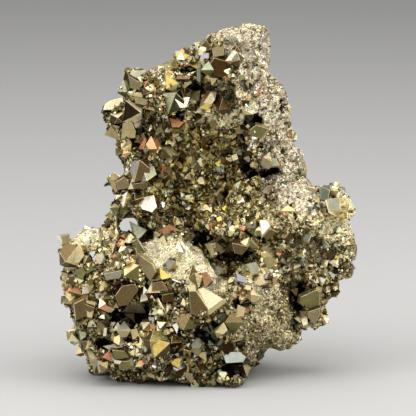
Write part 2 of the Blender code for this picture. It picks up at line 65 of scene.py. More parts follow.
CLUSTER, DRUSE = "crystal_cluster", "hollow_druse"
MM = 0.001
VIEW_ELEVATION = math.radians(10.0)
FAR = 200.0  # where a ray of the view starts, in millimetres towards the viewer
OCTAHEDRAL_ANGLE = math.degrees(math.acos(1 / 3))  # from one face's normal to the next one's
SAME_CORNER = 1e-7  # corners of a CAD mesh nearer than this, in metres, are one
SAME_POINT = 1e-4  # corners of a small shape nearer than this, in its edges, are one
FLAT_ANGLE = 0.02  # faces that differ by less, in radians, are joined
MOST_CHANCE = 0.999999  # the highest chance that still picks a palette's last tint
TINT_SPREAD = (0.6, 1.2)  # the factors that set a small face off from its neighbours
# the brightest tints are made less metallic, so that their painted brightness shows from any side
LESS_METAL_MOST = 0.45  # how much less metallic the brightest faces are
LESS_METAL_TINTS = (0.35, 0.75)  # the reds at which that starts and is reached


class Tint(Enum):
    """Base colours of pyrite faces, from bright and clean to tarnished; they also paint in the
    coloured reflections, highlights and shade that single facets show.
    """

    CREAM = (0.95, 0.83, 0.52)
    STRAW = (0.78, 0.67, 0.36)
    TAN = (0.50, 0.405, 0.20)
    GOLD = (0.66, 0.49, 0.13)
    UMBER = (0.170, 0.118, 0.052)
    BROWN = (0.085, 0.045, 0.014)
    OLIVE = (0.20, 0.18, 0.070)
    DARK_OLIVE = (0.055, 0.056, 0.026)
    SAGE = (0.34, 0.37, 0.235)
    PALE_GREEN = (0.64, 0.66, 0.43)
    GREY = (0.36, 0.345, 0.25)
    COPPER = (0.70, 0.29, 0.15)
    ORANGE = (0.55, 0.22, 0.07)
    LAVENDER = (0.44, 0.41, 0.45)
    STEEL = (0.30, 0.35, 0.38)
    WHITE = (0.98, 0.93, 0.78)
    RUST = (0.36, 0.185, 0.09)
    ICE = (0.46, 0.49, 0.45)
    PEARL = (0.62, 0.56, 0.47)
    BRONZE = (0.29, 0.235, 0.125)
    SLATE = (0.16, 0.175, 0.13)
    SHADOW = (0.020, 0.014, 0.008)


Palette = tuple[tuple[Tint, float], ...]

CRYSTAL_PALETTE: Palette = (
    (Tint.CREAM, 11), (Tint.STRAW, 12), (Tint.TAN, 26), (Tint.GOLD, 5), (Tint.UMBER, 22),
    (Tint.OLIVE, 13), (Tint.SAGE, 5), (Tint.PALE_GREEN, 3), (Tint.GREY, 8), (Tint.COPPER, 2),
    (Tint.BROWN, 8), (Tint.WHITE, 3), (Tint.LAVENDER, 0.7),
)
DRUSE_PALETTE: Palette = (
    (Tint.BROWN, 16), (Tint.UMBER, 24), (Tint.OLIVE, 20), (Tint.TAN, 18), (Tint.GOLD, 11),
    (Tint.SAGE, 6), (Tint.STEEL, 1), (Tint.STRAW, 7), (Tint.CREAM, 5), (Tint.PALE_GREEN, 2),
)
GRAIN_PALETTE: Palette = (
    (Tint.CREAM, 38), (Tint.STRAW, 24), (Tint.TAN, 22), (Tint.GOLD, 2), (Tint.UMBER, 10),
    (Tint.GREY, 8), (Tint.OLIVE, 5), (Tint.BROWN, 3),
)


def to_frame(u: float, v: float, w: float) -> Vector:
    """Turns display coordinates into the specimen's frame.

    Args:
        u: Millimetres to the viewer's right.
        v: Millimetres up, across the line of sight.
        w: Millimetres towards the viewer.

    Returns:
        The place in metres.
    """
    sine, cosine = math.sin(VIEW_ELEVATION), math.cos(VIEW_ELEVATION)
    return Vector((u, v * sine - w * cosine, v * cosine + w * sine)) * MM


TO_VIEWER = to_frame(0, 0, 1).normalized()


def display_of(points: np.ndarray) -> np.ndarray:
    """Turns places in the specimen's frame into display coordinates.

    Args:
        points: Places in metres, one a row.

    Returns:
        The same places as (u, v, w) in millimetres, one a row.
    """
    sine, cosine = math.sin(VIEW_ELEVATION), math.cos(VIEW_ELEVATION)
    x, y, z = (points / MM).T
    return np.stack([x, y * sine + z * cosine, z * sine - y * cosine], axis=1)


# ---------------------------------------------------------------- node trees


def operator_of(
    operation: str, turned: bool = False
) -> Callable[["Value", "Value | float"], "Value"]:
    """Makes the method behind one of Value's operators.

    Args:
        operation: The Math node's operation.
        turned: Whether the socket comes second, as in 1 - mask.

    Returns:
        The method.
    """

    def method(self: "Value", other: "Value | float") -> "Value":
        """Adds the Math node and returns its output."""
        terms = (other, self) if turned else (self, other)
        return self.sheet.out("ShaderNodeMath", {"operation": operation}, dict(enumerate(terms)))

    return method


class Value:
    """A socket that can be used in sums, each of which adds a Math node."""

    __add__, __radd__ = operator_of("ADD"), operator_of("ADD", True)
    __sub__, __rsub__ = operator_of("SUBTRACT"), operator_of("SUBTRACT", True)
    __mul__, __rmul__ = operator_of("MULTIPLY"), operator_of("MULTIPLY", True)
    __truediv__, __rtruediv__ = operator_of("DIVIDE"), operator_of("DIVIDE", True)
    __pow__, __rpow__ = operator_of("POWER"), operator_of("POWER", True)

    def __init__(self, sheet: "NodeSheet", socket: bpy.types.NodeSocket) -> None:
        """Wraps a socket.

        Args:
            sheet: The sheet that the socket's node is on.
            socket: An output socket.
        """
        self.sheet = sheet
        self.socket = socket


class NodeSheet:
    """A node tree that is written from the script."""

    def __init__(self, tree: bpy.types.NodeTree) -> None:
        """Takes a tree and empties it.

        Args:
            tree: A shader or geometry node tree.
        """
        self.tree = tree
        tree.nodes.clear()

    def node(
        self,
        kind: str,
        settings: dict[str, object] | None = None,
        sockets: dict[str | int, object] | None = None,
    ) -> bpy.types.Node:
        """Makes any node.

        Args:
            kind: The node's type name.
            settings: Its properties by name.
            sockets: Its inputs by name or number, each a Value to link or a plain value to set.

        Returns:
            The node.
        """
        made = self.tree.nodes.new(kind)
        for name, value in (settings or {}).items():
            setattr(made, name, value)
        for key, value in (sockets or {}).items():
            socket = made.inputs[key]
            if isinstance(value, Value):
                self.tree.links.new(value.socket, socket)
            elif value is not None:
                socket.default_value = value
        return made

    def out(
        self,
        kind: str,
        settings: dict[str, object] | None = None,
        sockets: dict[str | int, object] | None = None,
        output: str | int = 0,
    ) -> Value:
        """Makes any node and returns one of its outputs.

        Args:
            kind: The node's type name.
            settings: Its properties by name.
            sockets: Its inputs by name or number.
            output: The output wanted, by name or number.

        Returns:
            That output.
        """
        return Value(self, self.node(kind, settings, sockets).outputs[output])


# ---------------------------------------------------------------- finishes


@dataclass(frozen=True)
class PyriteFinish:
    """Pyrite whose faces carry their own tint and gloss.

    The mesh holds the tint in the colour attribute tint, and the roughness in gloss. Sizes are
    in millimetres. grain_tilt turns each grain's facet, and grain_contrast sets its shade off
    from its neighbours'. film_size and film_depth are the film's shares of the mottle's size
    and depth, and yellowing is the share of a shade that the blue keeps back.
    """

    name: str
    metallic: float
    mottle_size: float
    mottle_depth: float
    grain_size: float
    grain_tilt: float
    grain_contrast: float
    line_size: float
    relief: float
    film_size: float = 0.17
    film_depth: float = 0.7
    yellowing: float = 0.35
    gloss_spread: float = 0.16
    film_height: float = 0.55
    line_height: float = 0.45
    bump: float = 0.6

    def build(self) -> bpy.types.Material:
        """Makes the material.

        Returns:
            The material.
        """
        material = bpy.data.materials.new(self.name)
        material.use_nodes = True
        sheet = NodeSheet(material.node_tree)
        place = sheet.out("ShaderNodeTexCoord", output="Object")
        gloss = sheet.out("ShaderNodeAttribute", {"attribute_name": "gloss"}, output="Fac")
        mottle = self._noise(sheet, place, self.mottle_size, 4.0)
        film = self._noise(sheet, place, self.mottle_size * self.film_size, 3.0)
        grains = sheet.node(
            "ShaderNodeTexVoronoi", {"feature": "F1"},
            {"Vector": place, "Scale": 1 / (self.grain_size * MM)},
        )
        grain = Value(sheet, grains.outputs["Color"])
        pick = sheet.out("ShaderNodeSeparateXYZ", sockets={0: grain}, output="X")
        shader = sheet.node(
            "ShaderNodeBsdfPrincipled",
            sockets={
                "Base Color": self._colour(sheet, mottle, film, pick),
                "Roughness": gloss + (mottle - 0.5) * self.gloss_spread,
                "Metallic": self._metal(sheet),
                "Normal": self._normal(sheet, place, grain, film),
            },
        )
        sheet.node("ShaderNodeOutputMaterial", sockets={"Surface": Value(sheet, shader.outputs[0])})
        return material

    def _colour(self, sheet: NodeSheet, mottle: Value, film: Value, pick: Value) -> Value:
        """Shades the tint with blots, a thin film and the difference between grains.

        Args:
            sheet: The material's sheet.
            mottle: Wide blots, from 0 to 1.
            film: Narrow blots, from 0 to 1.
            pick: One number from 0 to 1 for each grain.

        Returns:
            The colour.
        """
        tint = sheet.out("ShaderNodeAttribute", {"attribute_name": "tint"}, output="Color")
        film_depth = self.mottle_depth * self.film_depth
        shade = 1.0 + (mottle - 0.5) * self.mottle_depth + (film - 0.5) * film_depth
        shade = shade * (1.0 + (pick - 0.5) * self.grain_contrast)
        warmth = 1.0 - (1.0 - shade) * self.yellowing
        grey = sheet.out("ShaderNodeCombineXYZ", sockets={0: shade, 1: shade, 2: shade * warmth})
        return sheet.out("ShaderNodeVectorMath", {"operation": "MULTIPLY"}, {0: tint, 1: grey})

    def _metal(self, sheet: NodeSheet) -> Value:
        """Lets the faces with the brightest tints be less mirror-like than the rest, so that their
        painted brightness shows from any side.

        Args:
            sheet: The material's sheet.

        Returns:
            How metallic the surface is.
        """
        etched = sheet.out("ShaderNodeAttribute", {"attribute_name": "etched"}, output="Fac")
        return self.metallic - etched

    def _normal(self, sheet: NodeSheet, place: Value, grain: Value, film: Value) -> Value:
        """Turns each grain's facet and adds fine growth lines.

        Args:
            sheet: The material's sheet.
            place: The coordinates.
            grain: A random colour for each grain.
            film: Narrow blots, from 0 to 1.

        Returns:
            The normal.
        """
        lines = sheet.out(
            "ShaderNodeTexVoronoi",
            {"feature": "F1", "distance": "MANHATTAN"},
            {"Vector": place, "Scale": 1 / (self.line_size * MM)},
            "Distance",
        )
        turned = sheet.out(
            "ShaderNodeVectorMath", {"operation": "SUBTRACT"}, {0: grain, 1: (0.5, 0.5, 0.5)}
        )
        turned = sheet.out(
            "ShaderNodeVectorMath", {"operation": "SCALE"}, {0: turned, "Scale": self.grain_tilt}
        )
        plain = sheet.out("ShaderNodeNewGeometry", output="Normal")
        tilted = sheet.out("ShaderNodeVectorMath", {"operation": "ADD"}, {0: plain, 1: turned})
        facet = sheet.out("ShaderNodeVectorMath", {"operation": "NORMALIZE"}, {0: tilted})
        return sheet.out(
            "ShaderNodeBump",
            sockets={
                "Strength": self.bump, "Distance": self.relief * MM,
                "Height": film * self.film_height + lines * self.line_height, "Normal": facet,
            },
        )

    @staticmethod
    def _noise(sheet: NodeSheet, place: Value, size: float, detail: float) -> Value:
        """Makes a noise texture.

        Args:
            sheet: The material's sheet.
            place: The coordinates.
            size: The size of its blots in millimetres.
            detail: The node's detail.

        Returns:
            The texture's factor.
        """
        return sheet.out(
            "ShaderNodeTexNoise",
            sockets={"Vector": place, "Scale": 1 / (size * MM), "Detail": detail},
            output=0,
        )


FACE_FINISH = PyriteFinish("crystal_faces", 1.0, 4.0, 0.60, 0.8, 0.08, 0.20, 1.1, 0.05)
SMALL_FINISH = PyriteFinish("small_crystals", 1.0, 3.0, 0.40, 0.8, 0.08, 0.25, 0.6, 0.03)
DRUSE_FINISH = PyriteFinish("druse_pyrite", 1.0, 2.5, 0.50, 0.7, 0.30, 0.50, 0.5, 0.03)
GRAIN_FINISH = PyriteFinish("granular_pyrite", 0.9, 3.5, 0.60, 0.5, 0.70, 0.80, 0.5, 0.10)


# ---------------------------------------------------------------- mesh helpers


def add_piece(name: str, mesh: bpy.types.Mesh) -> bpy.types.Object:
    """Links a mesh to the scene as an object at the origin.

    Args:
        name: The object's name.
        mesh: Its mesh.

    Returns:
        The object.
    """
    obj = bpy.data.objects.new(name, mesh)
    bpy.context.scene.collection.objects.link(obj)
    return obj


def plain_mesh(obj: bpy.types.Object) -> bpy.types.Mesh:
    """Evaluates an object's modifiers.

    Args:
        obj: The object.

    Returns:
        A new plain mesh.
    """
    graph = bpy.context.evaluated_depsgraph_get()
    return bpy.data.meshes.new_from_object(obj.evaluated_get(graph), depsgraph=graph)


def merged_copy(node: bpy.types.Object, name: str) -> bpy.types.Mesh:
    """Copies a CAD node's mesh with its loose triangles joined at their corners.

    Args:
        node: The CAD node.
        name: The copy's name.

    Returns:
        The closed mesh.
    """
    body = bmesh.new()
    body.from_mesh(node.data)
    bmesh.ops.remove_doubles(body, verts=body.verts, dist=SAME_CORNER)
    mesh = bpy.data.meshes.new(name)
    body.to_mesh(mesh)
    body.free()
    return mesh


def hull_of(corners: Iterable[Vector], merged: bool = False) -> bmesh.types.BMesh:
    """Makes the closed body round some corners.

    Args:
        corners: The corners, as vectors or rows of three numbers.
        merged: Whether some of them may be the same.

    Returns:
        The body, with flat faces that look outwards.
    """
    body = bmesh.new()
    points = [body.verts.new(corner) for corner in corners]
    if merged:
        bmesh.ops.remove_doubles(body, verts=points, dist=SAME_POINT)
    bmesh.ops.convex_hull(body, input=body.verts)
    bmesh.ops.dissolve_limit(body, angle_limit=FLAT_ANGLE, verts=body.verts, edges=body.edges)
    bmesh.ops.recalc_face_normals(body, faces=body.faces)
    body.normal_update()
    return body


def numbers(rows: Sequence, name: str) -> np.ndarray:
    """Reads a whole number of each of a mesh's elements.

    Args:
        rows: The mesh's faces, corners or an attribute's data.
        name: The number's name.

    Returns:
        One number for each element.
    """
    values = np.empty(len(rows), np.int32)
    rows.foreach_get(name, values)
    return values


def vectors(mesh: bpy.types.Mesh, name: str) -> np.ndarray:
    """Reads a vector of each of a mesh's vertices.

    Args:
        mesh: The mesh.
        name: "co" for the places or "normal" for the way that they look.

    Returns:
        The vectors, one a row.
    """
    values = np.empty(len(mesh.vertices) * 3, np.float32)
    mesh.vertices.foreach_get(name, values)
    return values.reshape(-1, 3).astype(np.float64)


def move_vertices(mesh: bpy.types.Mesh, points: np.ndarray) -> None:
    """Puts a mesh's vertices at new places, one a row."""
    mesh.vertices.foreach_set("co", points.astype(np.float32).ravel())
    mesh.update()


def first_vertices(mesh: bpy.types.Mesh) -> np.ndarray:
    """Returns the number of the vertex at each face's first corner."""
    return numbers(mesh.loops, "vertex_index")[numbers(mesh.polygons, "loop_start")]


def paint_faces(mesh: bpy.types.Mesh, tints: np.ndarray, gloss: np.ndarray) -> None:
    """Stores a tint, a roughness and how much less metallic it is for each face, at its corners.

    Args:
        mesh: The mesh.
        tints: One red, green and blue row a face.
        gloss: One roughness a face.
    """
    for name in ("tint", "gloss", "etched"):
        if name in mesh.attributes:  # a growth brings its carrier's along
            mesh.attributes.remove(mesh.attributes[name])
    etched = LESS_METAL_MOST * smooth_step(*LESS_METAL_TINTS, tints[:, 0])
    totals = numbers(mesh.polygons, "loop_total")
    corners = np.repeat(np.c_[tints, np.ones(len(tints))], totals, axis=0)
    layer = mesh.attributes.new("tint", "FLOAT_COLOR", "CORNER")
    layer.data.foreach_set("color", corners.astype(np.float32).ravel())
    for name, values in (("gloss", gloss), ("etched", etched)):
        layer = mesh.attributes.new(name, "FLOAT", "CORNER")
        layer.data.foreach_set("value", np.repeat(values, totals).astype(np.float32))


def smooth_step(low: float, high: float, values: np.ndarray) -> np.ndarray:
    """Rises smoothly from 0 at low to 1 at high.

    Args:
        low: Where it starts.
        high: Where it ends.
        values: The values to map.

    Returns:
        The mapped values.
    """
    share = np.clip((values - low) / (high - low), 0.0, 1.0)
    return share * share * (3 - 2 * share)


def pick_tints(palette: Palette, chances: np.ndarray) -> np.ndarray:
    """Picks tints from a palette by chance.

    Args:
        palette: Tints with their weights.
        chances: One number from 0 to 1 for each pick.

    Returns:
        One red, green and blue row a pick.
    """
    weights = np.cumsum([weight for _, weight in palette])
    colours = np.array([tint.value for tint, _ in palette])
    return colours[np.searchsorted(weights / weights[-1], np.clip(chances, 0, MOST_CHANCE))]


# ---------------------------------------------------------------- zones


PATCH_EDGE = (1.15, 0.85)  # the radii at which a patch's weight starts and is whole
# the least facing that a patch takes in, without and with wrapping, and the rise from there
SEEN_FROM, WRAPPED_FROM, FACING_RISE = -0.25, -0.85, 0.3


@dataclass(frozen=True)
class Patch:
    """An ellipse of the display view that has one kind of surface.

    value says how strongly, or how bright. A patch that wraps goes on round the side.
    """

    centre: tuple[float, float]
    radii: tuple[float, float]
    turn: float = 0.0
    value: float = 1.0
    wraps: bool = False

    def weight(self, display: np.ndarray, facing: np.ndarray, wiggle: np.ndarray) -> np.ndarray:
        """Finds how far places belong to the patch.

        Args:
            display: Places as (u, v, w), one a row.
            facing: How far each place looks towards the viewer, from -1 to 1.
            wiggle: A number for each place that makes the patch's edge uneven.

        Returns:
            From 0 outside to 1 inside, one for each place.
        """
        turn = math.radians(self.turn)
        across = display[:, 0] - self.centre[0]
        up = display[:, 1] - self.centre[1]
        along = across * math.cos(turn) + up * math.sin(turn)
        beside = up * math.cos(turn) - across * math.sin(turn)
        radius = np.hypot(along / self.radii[0], beside / self.radii[1])
        least = WRAPPED_FROM if self.wraps else SEEN_FROM
        inside = smooth_step(*PATCH_EDGE, radius + wiggle)
        return inside * smooth_step(least, least + FACING_RISE, facing)


GRANULAR_PATCHES = (
    Patch((21, 170), (18, 7), 10, wraps=True),
    Patch((27, 158), (9, 16), 4, wraps=True),
    Patch((38, 130), (15, 38), 10, wraps=True),
    Patch((46, 98), (12, 15), wraps=True),
    Patch((15, 134), (12, 16), value=0.85),
    Patch((22, 143), (6, 8), value=0.85),
    Patch((-13, 59), (19, 10), -12),
    Patch((0, 51), (15, 9), -30),
    Patch((-57, 71), (12, 6), value=0.9, wraps=True),
    Patch((30, 29), (17, 19), 15, value=0.95, wraps=True),
    Patch((67, 77), (12, 14), wraps=True),
    Patch((42, 83), (11, 11), value=0.8),
    Patch((56, 62), (12, 8), 20, value=0.6),
    Patch((-39, 101.5), (5, 3.5), 30, value=0.8, wraps=True),
)
HOLLOW_PATCHES = (
    Patch((-1, 99), (23, 24)),
    Patch((20, 102), (11, 15)),
    Patch((14, 60), (17, 9)),
    Patch((28, 68), (12, 8), value=0.7),
)
BARE_PATCHES = (
    Patch((-35.3, 75.5), (8.5, 7.0), wraps=True),
    Patch((17, 61), (10, 4), value=0.7),
)
PALE_COLOUR = (0.88, 0.79, 0.56)
PALE_PATCHES = (
    Patch((-12, 58), (18, 9), -14, value=0.55),
    Patch((0, 51), (13, 8), -30, value=0.5),
    Patch((-57, 71), (12, 5), value=0.4),
    Patch((50, 90), (14, 7), value=0.35),
    Patch((24, 165), (14, 8), value=0.3),
)
# painted light and shade, lighter and darker patches: place across and up, half sizes, turn, and
# the factor for the tint
LIGHT_AND_SHADE_ROWS = (
    (-11, 57, 23, 12, -20, 1.2), (-57, 70, 14, 9, 0, 1.3), (62, 88, 16, 12, 0, 1.25),
    (30, 29, 19, 21, 15, 0.8), (50, 58, 22, 18, 0, 0.7), (55, 62, 15, 7, 0, 0.62),
    (52, 38, 16, 12, 0, 0.75), (65, 53, 7, 6, 0, 1.6), (-5, 10, 48, 11, 0, 0.55),
    (-42, 13, 11, 7, 0, 1.7), (-12, 13, 11, 7, 0, 1.6), (-36, 122, 14, 18, 0, 0.72),
    (-45, 38, 26, 24, 0, 0.88), (-45, 50, 24, 13, 0, 1.35), (-50, 26, 12, 10, 0, 0.7),
    (0, 32, 16, 12, 0, 0.8), (28, 103, 10, 12, 0, 0.8), (25, 113, 5, 5, 0, 1.4),
    (8, 136, 18, 12, 0, 1.45), (-15, 148, 8, 11, 0, 1.6), (-25, 143, 5, 6, 0, 0.65),
    (15, 153, 5, 5, 0, 0.7), (25, 153, 7, 7, 0, 1.45), (35, 133, 6, 8, 0, 1.3),
    (35, 113, 5, 6, 0, 0.75), (5, 113, 8, 6, 0, 1.4), (-25, 123, 5, 5, 0, 0.6),
    (-33, 104, 7, 7, 0, 1.5), (25, 92, 8, 8, 0, 1.9), (10, 93, 9, 6, 0, 1.3),
    (35, 93, 5, 6, 0, 0.6), (-35, 83, 6, 6, 0, 1.7), (-5, 83, 6, 6, 0, 0.65),
    (-26, 73, 7, 5, 0, 1.5), (5, 73, 7, 5, 0, 1.5), (65, 73, 8, 6, 0, 1.35),
    (36, 63, 5, 6, 0, 1.4), (26, 52.5, 16, 5, 0, 1.6), (-22, 23, 12, 7, 0, 1.7),
    (44, 40, 4, 9, 0, 1.6), (-10, 133, 9, 5, 0, 1.3), (-25, 103, 5, 5, 0, 0.65),
    (5, 83, 6, 5, 0, 1.35), (5, 46, 6, 4, 0, 0.6), (55, 33, 6, 5, 0, 0.7), (30, 63, 6, 4, 0, 1.4),
    (-18, 24, 8, 6, 0, 1.3), (-35, 14, 6, 5, 0, 1.3), (-25, 52, 8, 6, 0, 1.2),
    (-20, 63, 10, 5, 0, 0.75), (-9, 64, 5, 4, 0, 1.2), (-2, 60, 5, 5, 0, 0.85),
    (-35, 73, 5, 5, 0, 0.7), (-40, 102, 6, 5, 0, 1.6), (5, 46, 5, 5, 0, 0.8),
    (22, 143, 6, 8, 0, 0.75), (12, 53.5, 6, 3, 0, 1.5), (-38, 45, 5, 4, 0, 1.35),
    (22, 168, 16, 6, 0, 0.9), (36, 50, 6, 5, 0, 1.6), (42, 45, 4, 4, 0, 1.4),
    (-25, 63, 5, 5, 0, 0.7), (-25, 93, 5, 5, 0, 1.35), (-25, 83, 5, 5, 0, 0.75),
    (-35, 83, 5, 5, 0, 1.3), (-15, 123, 5, 5, 0, 1.7), (-55, 43, 5, 5, 0, 1.5),
    (-25, 43, 5, 5, 0, 1.3), (-5, 63, 4, 4, 0, 1.25), (-25, 103, 5, 4, 0, 0.75),
)
LIGHT_AND_SHADE_PATCHES = tuple(
    Patch((u, v), (across, up), turn, value) for u, v, across, up, turn, value in LIGHT_AND_SHADE_ROWS
)
# where the film is less yellow, with the share of blue that it gains
COOL_PATCHES = (
    Patch((38, 130), (17, 42), 10, value=0.20, wraps=True),
    Patch((24, 165), (17, 9), value=0.14, wraps=True),
    Patch((52, 92), (16, 10), value=0.10, wraps=True),
    Patch((36, 48), (9, 8), value=0.12),
)
SMOOTH_PATCHES = (
    Patch((-13, 59), (21, 11), -12),
    Patch((0, 51), (16, 10), -30),
    Patch((30, 29), (17, 19), 15, value=0.4),
)
# where only small crystals grow
LOW_PATCHES = (
    Patch((-42, 146), (8, 9), value=1.7, wraps=True),
    Patch((-51, 134), (7, 6), wraps=True),
    Patch((-46, 106), (9, 16), wraps=True),
    Patch((-71, 30), (8, 16), wraps=True),
    Patch((74, 47), (9, 9), wraps=True),
    Patch((-56, 77), (10, 3), wraps=True),
    Patch((56, 99), (4, 5), wraps=True),
)
LOW_DEPTH = 2.2  # how far the surface lies back there, in millimetres
# how far the broken faces stand out past the mass, in millimetres, as the value
SWELLS = (
    Patch((75, 88), (9, 9), value=3.5, wraps=True),
    Patch((76, 68), (6, 9), value=2.0, wraps=True),
    Patch((72, 47), (8, 9), value=4.0, wraps=True),
    Patch((46, 127), (4, 8), value=2.0, wraps=True),
    Patch((47, 113), (4, 6), value=3.0, wraps=True),
    Patch((13, 171), (9, 4), value=1.5, wraps=True),
    Patch((-8, 161), (7, 4), value=1.5, wraps=True),
    Patch((46, 17), (8, 6), value=2.5, wraps=True),
)
# hollows between the crystals and in the broken faces, sunk and darkened with painted shade: place
# across and up, half sizes
PIT_SIZES = (
    (26, 127, 4, 3), (30.5, 114, 2, 1.6), (34, 113, 1.2, 1.2), (15, 110.5, 1.6, 1.4),
    (25, 103.5, 4, 3.5), (34, 103, 4, 2), (41, 138, 1.1, 1.1), (41, 134, 1.2, 1),
    (42, 112.5, 1.3, 1.2), (30, 163.5, 1.1, 1), (-10, 131.5, 2.2, 2), (-31, 123, 1.6, 1.4),
    (-25, 125.5, 2, 1.4), (-1.5, 143.5, 3.2, 2.8), (-6, 153, 5, 1.4), (17, 3.5, 8, 2.5),
    (21, 37, 4, 1.8), (0.8, 69.3, 4.4, 3.8), (18, 63, 7.5, 2.6), (49.5, 39, 2.2, 6),
    (4, 22.5, 6, 5), (-41, 46.5, 5, 1.5), (-35.5, 31, 8, 5), (-48, 17, 2.6, 2.2),
    (-18, 38.5, 3, 2.5), (12, 92, 2.5, 2), (-14, 108, 2, 1.5), (4, 117, 2, 1.2),
)
PIT_SPREAD = 1.2  # the factor that makes a pit whole as far out as its half sizes say
PITS = tuple(
    Patch((u, v), (across * PIT_SPREAD, up * PIT_SPREAD)) for u, v, across, up in PIT_SIZES
)
# painted shade at the pits: the factor for a tint at a pit's bottom
PIT_SHADE = 0.1  # the factor for a tint at a pit's bottom
SMOOTH_EVENS = 0.65  # how much of the unevenness a smooth patch takes away
BASE_TONE = 1.05
WIGGLE_SIZE, WIGGLE = 7.0, 0.35  # the waves of a patch's edge: millimetres, and share of a radius
HOLLOW_TAKES = 0.6  # how much of the granular weight a hollow takes away
BEHIND_SIZE, BEHIND_MOST = 24.0, 0.6  # broken places at the back: millimetres, and the weight
BEHIND_BIAS, BEHIND_EDGE = 0.12, (-0.15, 0.15)  # how common they are, and how soft their edge
BEHIND_FACING = (-0.2, -0.5)  # the facings at which they start and are whole
BLOTS = ((2.6, 0.6), (9, 0.3))  # uneven tone: millimetres, and how much
RIM_FACING = (0.60, 0.15)  # the facings at which the outline's rim starts and is whole


@dataclass
class Zones:
    """How granular, hollow, crystal-covered and bright each place of the surface is; the brightness
    is painted light and shade, with random blots.
    """

    display: np.ndarray
    normals: np.ndarray
    granular: np.ndarray = field(init=False)
    hollow: np.ndarray = field(init=False)
    crystal: np.ndarray = field(init=False)
    bare: np.ndarray = field(init=False)
    pit: np.ndarray = field(init=False)
    pale: np.ndarray = field(init=False)
    smooth: np.ndarray = field(init=False)
    low: np.ndarray = field(init=False)
    rim: np.ndarray = field(init=False)
    swell: np.ndarray = field(init=False)
    cool: np.ndarray = field(init=False)
    tone: np.ndarray = field(init=False)

    def __post_init__(self) -> None:
        """Works the weights out."""
        places = [Vector(p) for p in self.display]
        wiggle = np.array([noise.noise(p / WIGGLE_SIZE) * WIGGLE for p in places])
        facing = self.normals @ np.array(TO_VIEWER)

        def strongest(patches: tuple[Patch, ...]) -> np.ndarray:
            """Returns the strongest patch's value at each place."""
            parts = [p.value * p.weight(self.display, facing, wiggle) for p in patches]
            return np.max(parts, axis=0)

        broad = np.array([noise.noise(p / BEHIND_SIZE + Vector((5, 0, 0))) for p in places])
        behind = smooth_step(*BEHIND_EDGE, broad + BEHIND_BIAS)
        behind *= smooth_step(*BEHIND_FACING, facing)
        self.bare = strongest(BARE_PATCHES)
        self.hollow = strongest(HOLLOW_PATCHES)
        granular = np.maximum(strongest(GRANULAR_PATCHES), behind * BEHIND_MOST)
        self.granular = granular * (1 - self.hollow * HOLLOW_TAKES)
        self.hollow = self.hollow * (1 - self.granular)
        self.crystal = np.clip(1 - self.granular - self.hollow, 0, 1)
        self.pit = strongest(PITS)
        self.pale = strongest(PALE_PATCHES)
        self.smooth = strongest(SMOOTH_PATCHES)
        self.low = strongest(LOW_PATCHES)
        self.swell = strongest(SWELLS)
        self.cool = strongest(COOL_PATCHES)
        self.rim = smooth_step(*RIM_FACING, np.abs(facing))
        uneven = [sum(noise.noise(p / size) * depth for size, depth in BLOTS) for p in places]
        blots = np.array(uneven) * (1 - SMOOTH_EVENS * self.smooth)
        # the tone: painted shade at the pits times random blots, then the patches of painted light
        # and shade
        self.tone = (1 + (PIT_SHADE - 1) * self.pit) * (BASE_TONE + blots)
        for light_patch in LIGHT_AND_SHADE_PATCHES:
            weight = light_patch.weight(self.display, facing, wiggle)
            self.tone *= 1 + (light_patch.value - 1) * weight

    def dressed(self, tints: np.ndarray, rows: np.ndarray, shade: np.ndarray) -> np.ndarray:
        """Gives tints the paleness and the tone of their places, with the tone's painted light and
        shade.

        Args:
            tints: One red, green and blue row for each of some faces.
            rows: The number of each face's place.
            shade: A factor for each place's tint, of painted shade and painted light.

        Returns:
            The faces' colours.
        """
        pale = self.pale[rows][:, None]
        mixed = tints * (1 - pale) + np.array(PALE_COLOUR) * pale
        mixed[:, 2] *= 1 + self.cool[rows]
        return np.clip(mixed * (self.tone * shade)[rows][:, None], 0, 1)


# ---------------------------------------------------------------- key crystals


GROWN_FREE = 0.6  # the share of a key octahedron in front of the crystals that it grew from
# the way that a key block's front looks, across, up and to the viewer, and its depth in radii
BLOCK_TURN, BLOCK_TILT, BLOCK_FACING = 0.10, 0.24, 0.95
BLOCK_DEPTH = 0.75
TURN_STEP = 9.0  # sets one block's turn off from the next one's


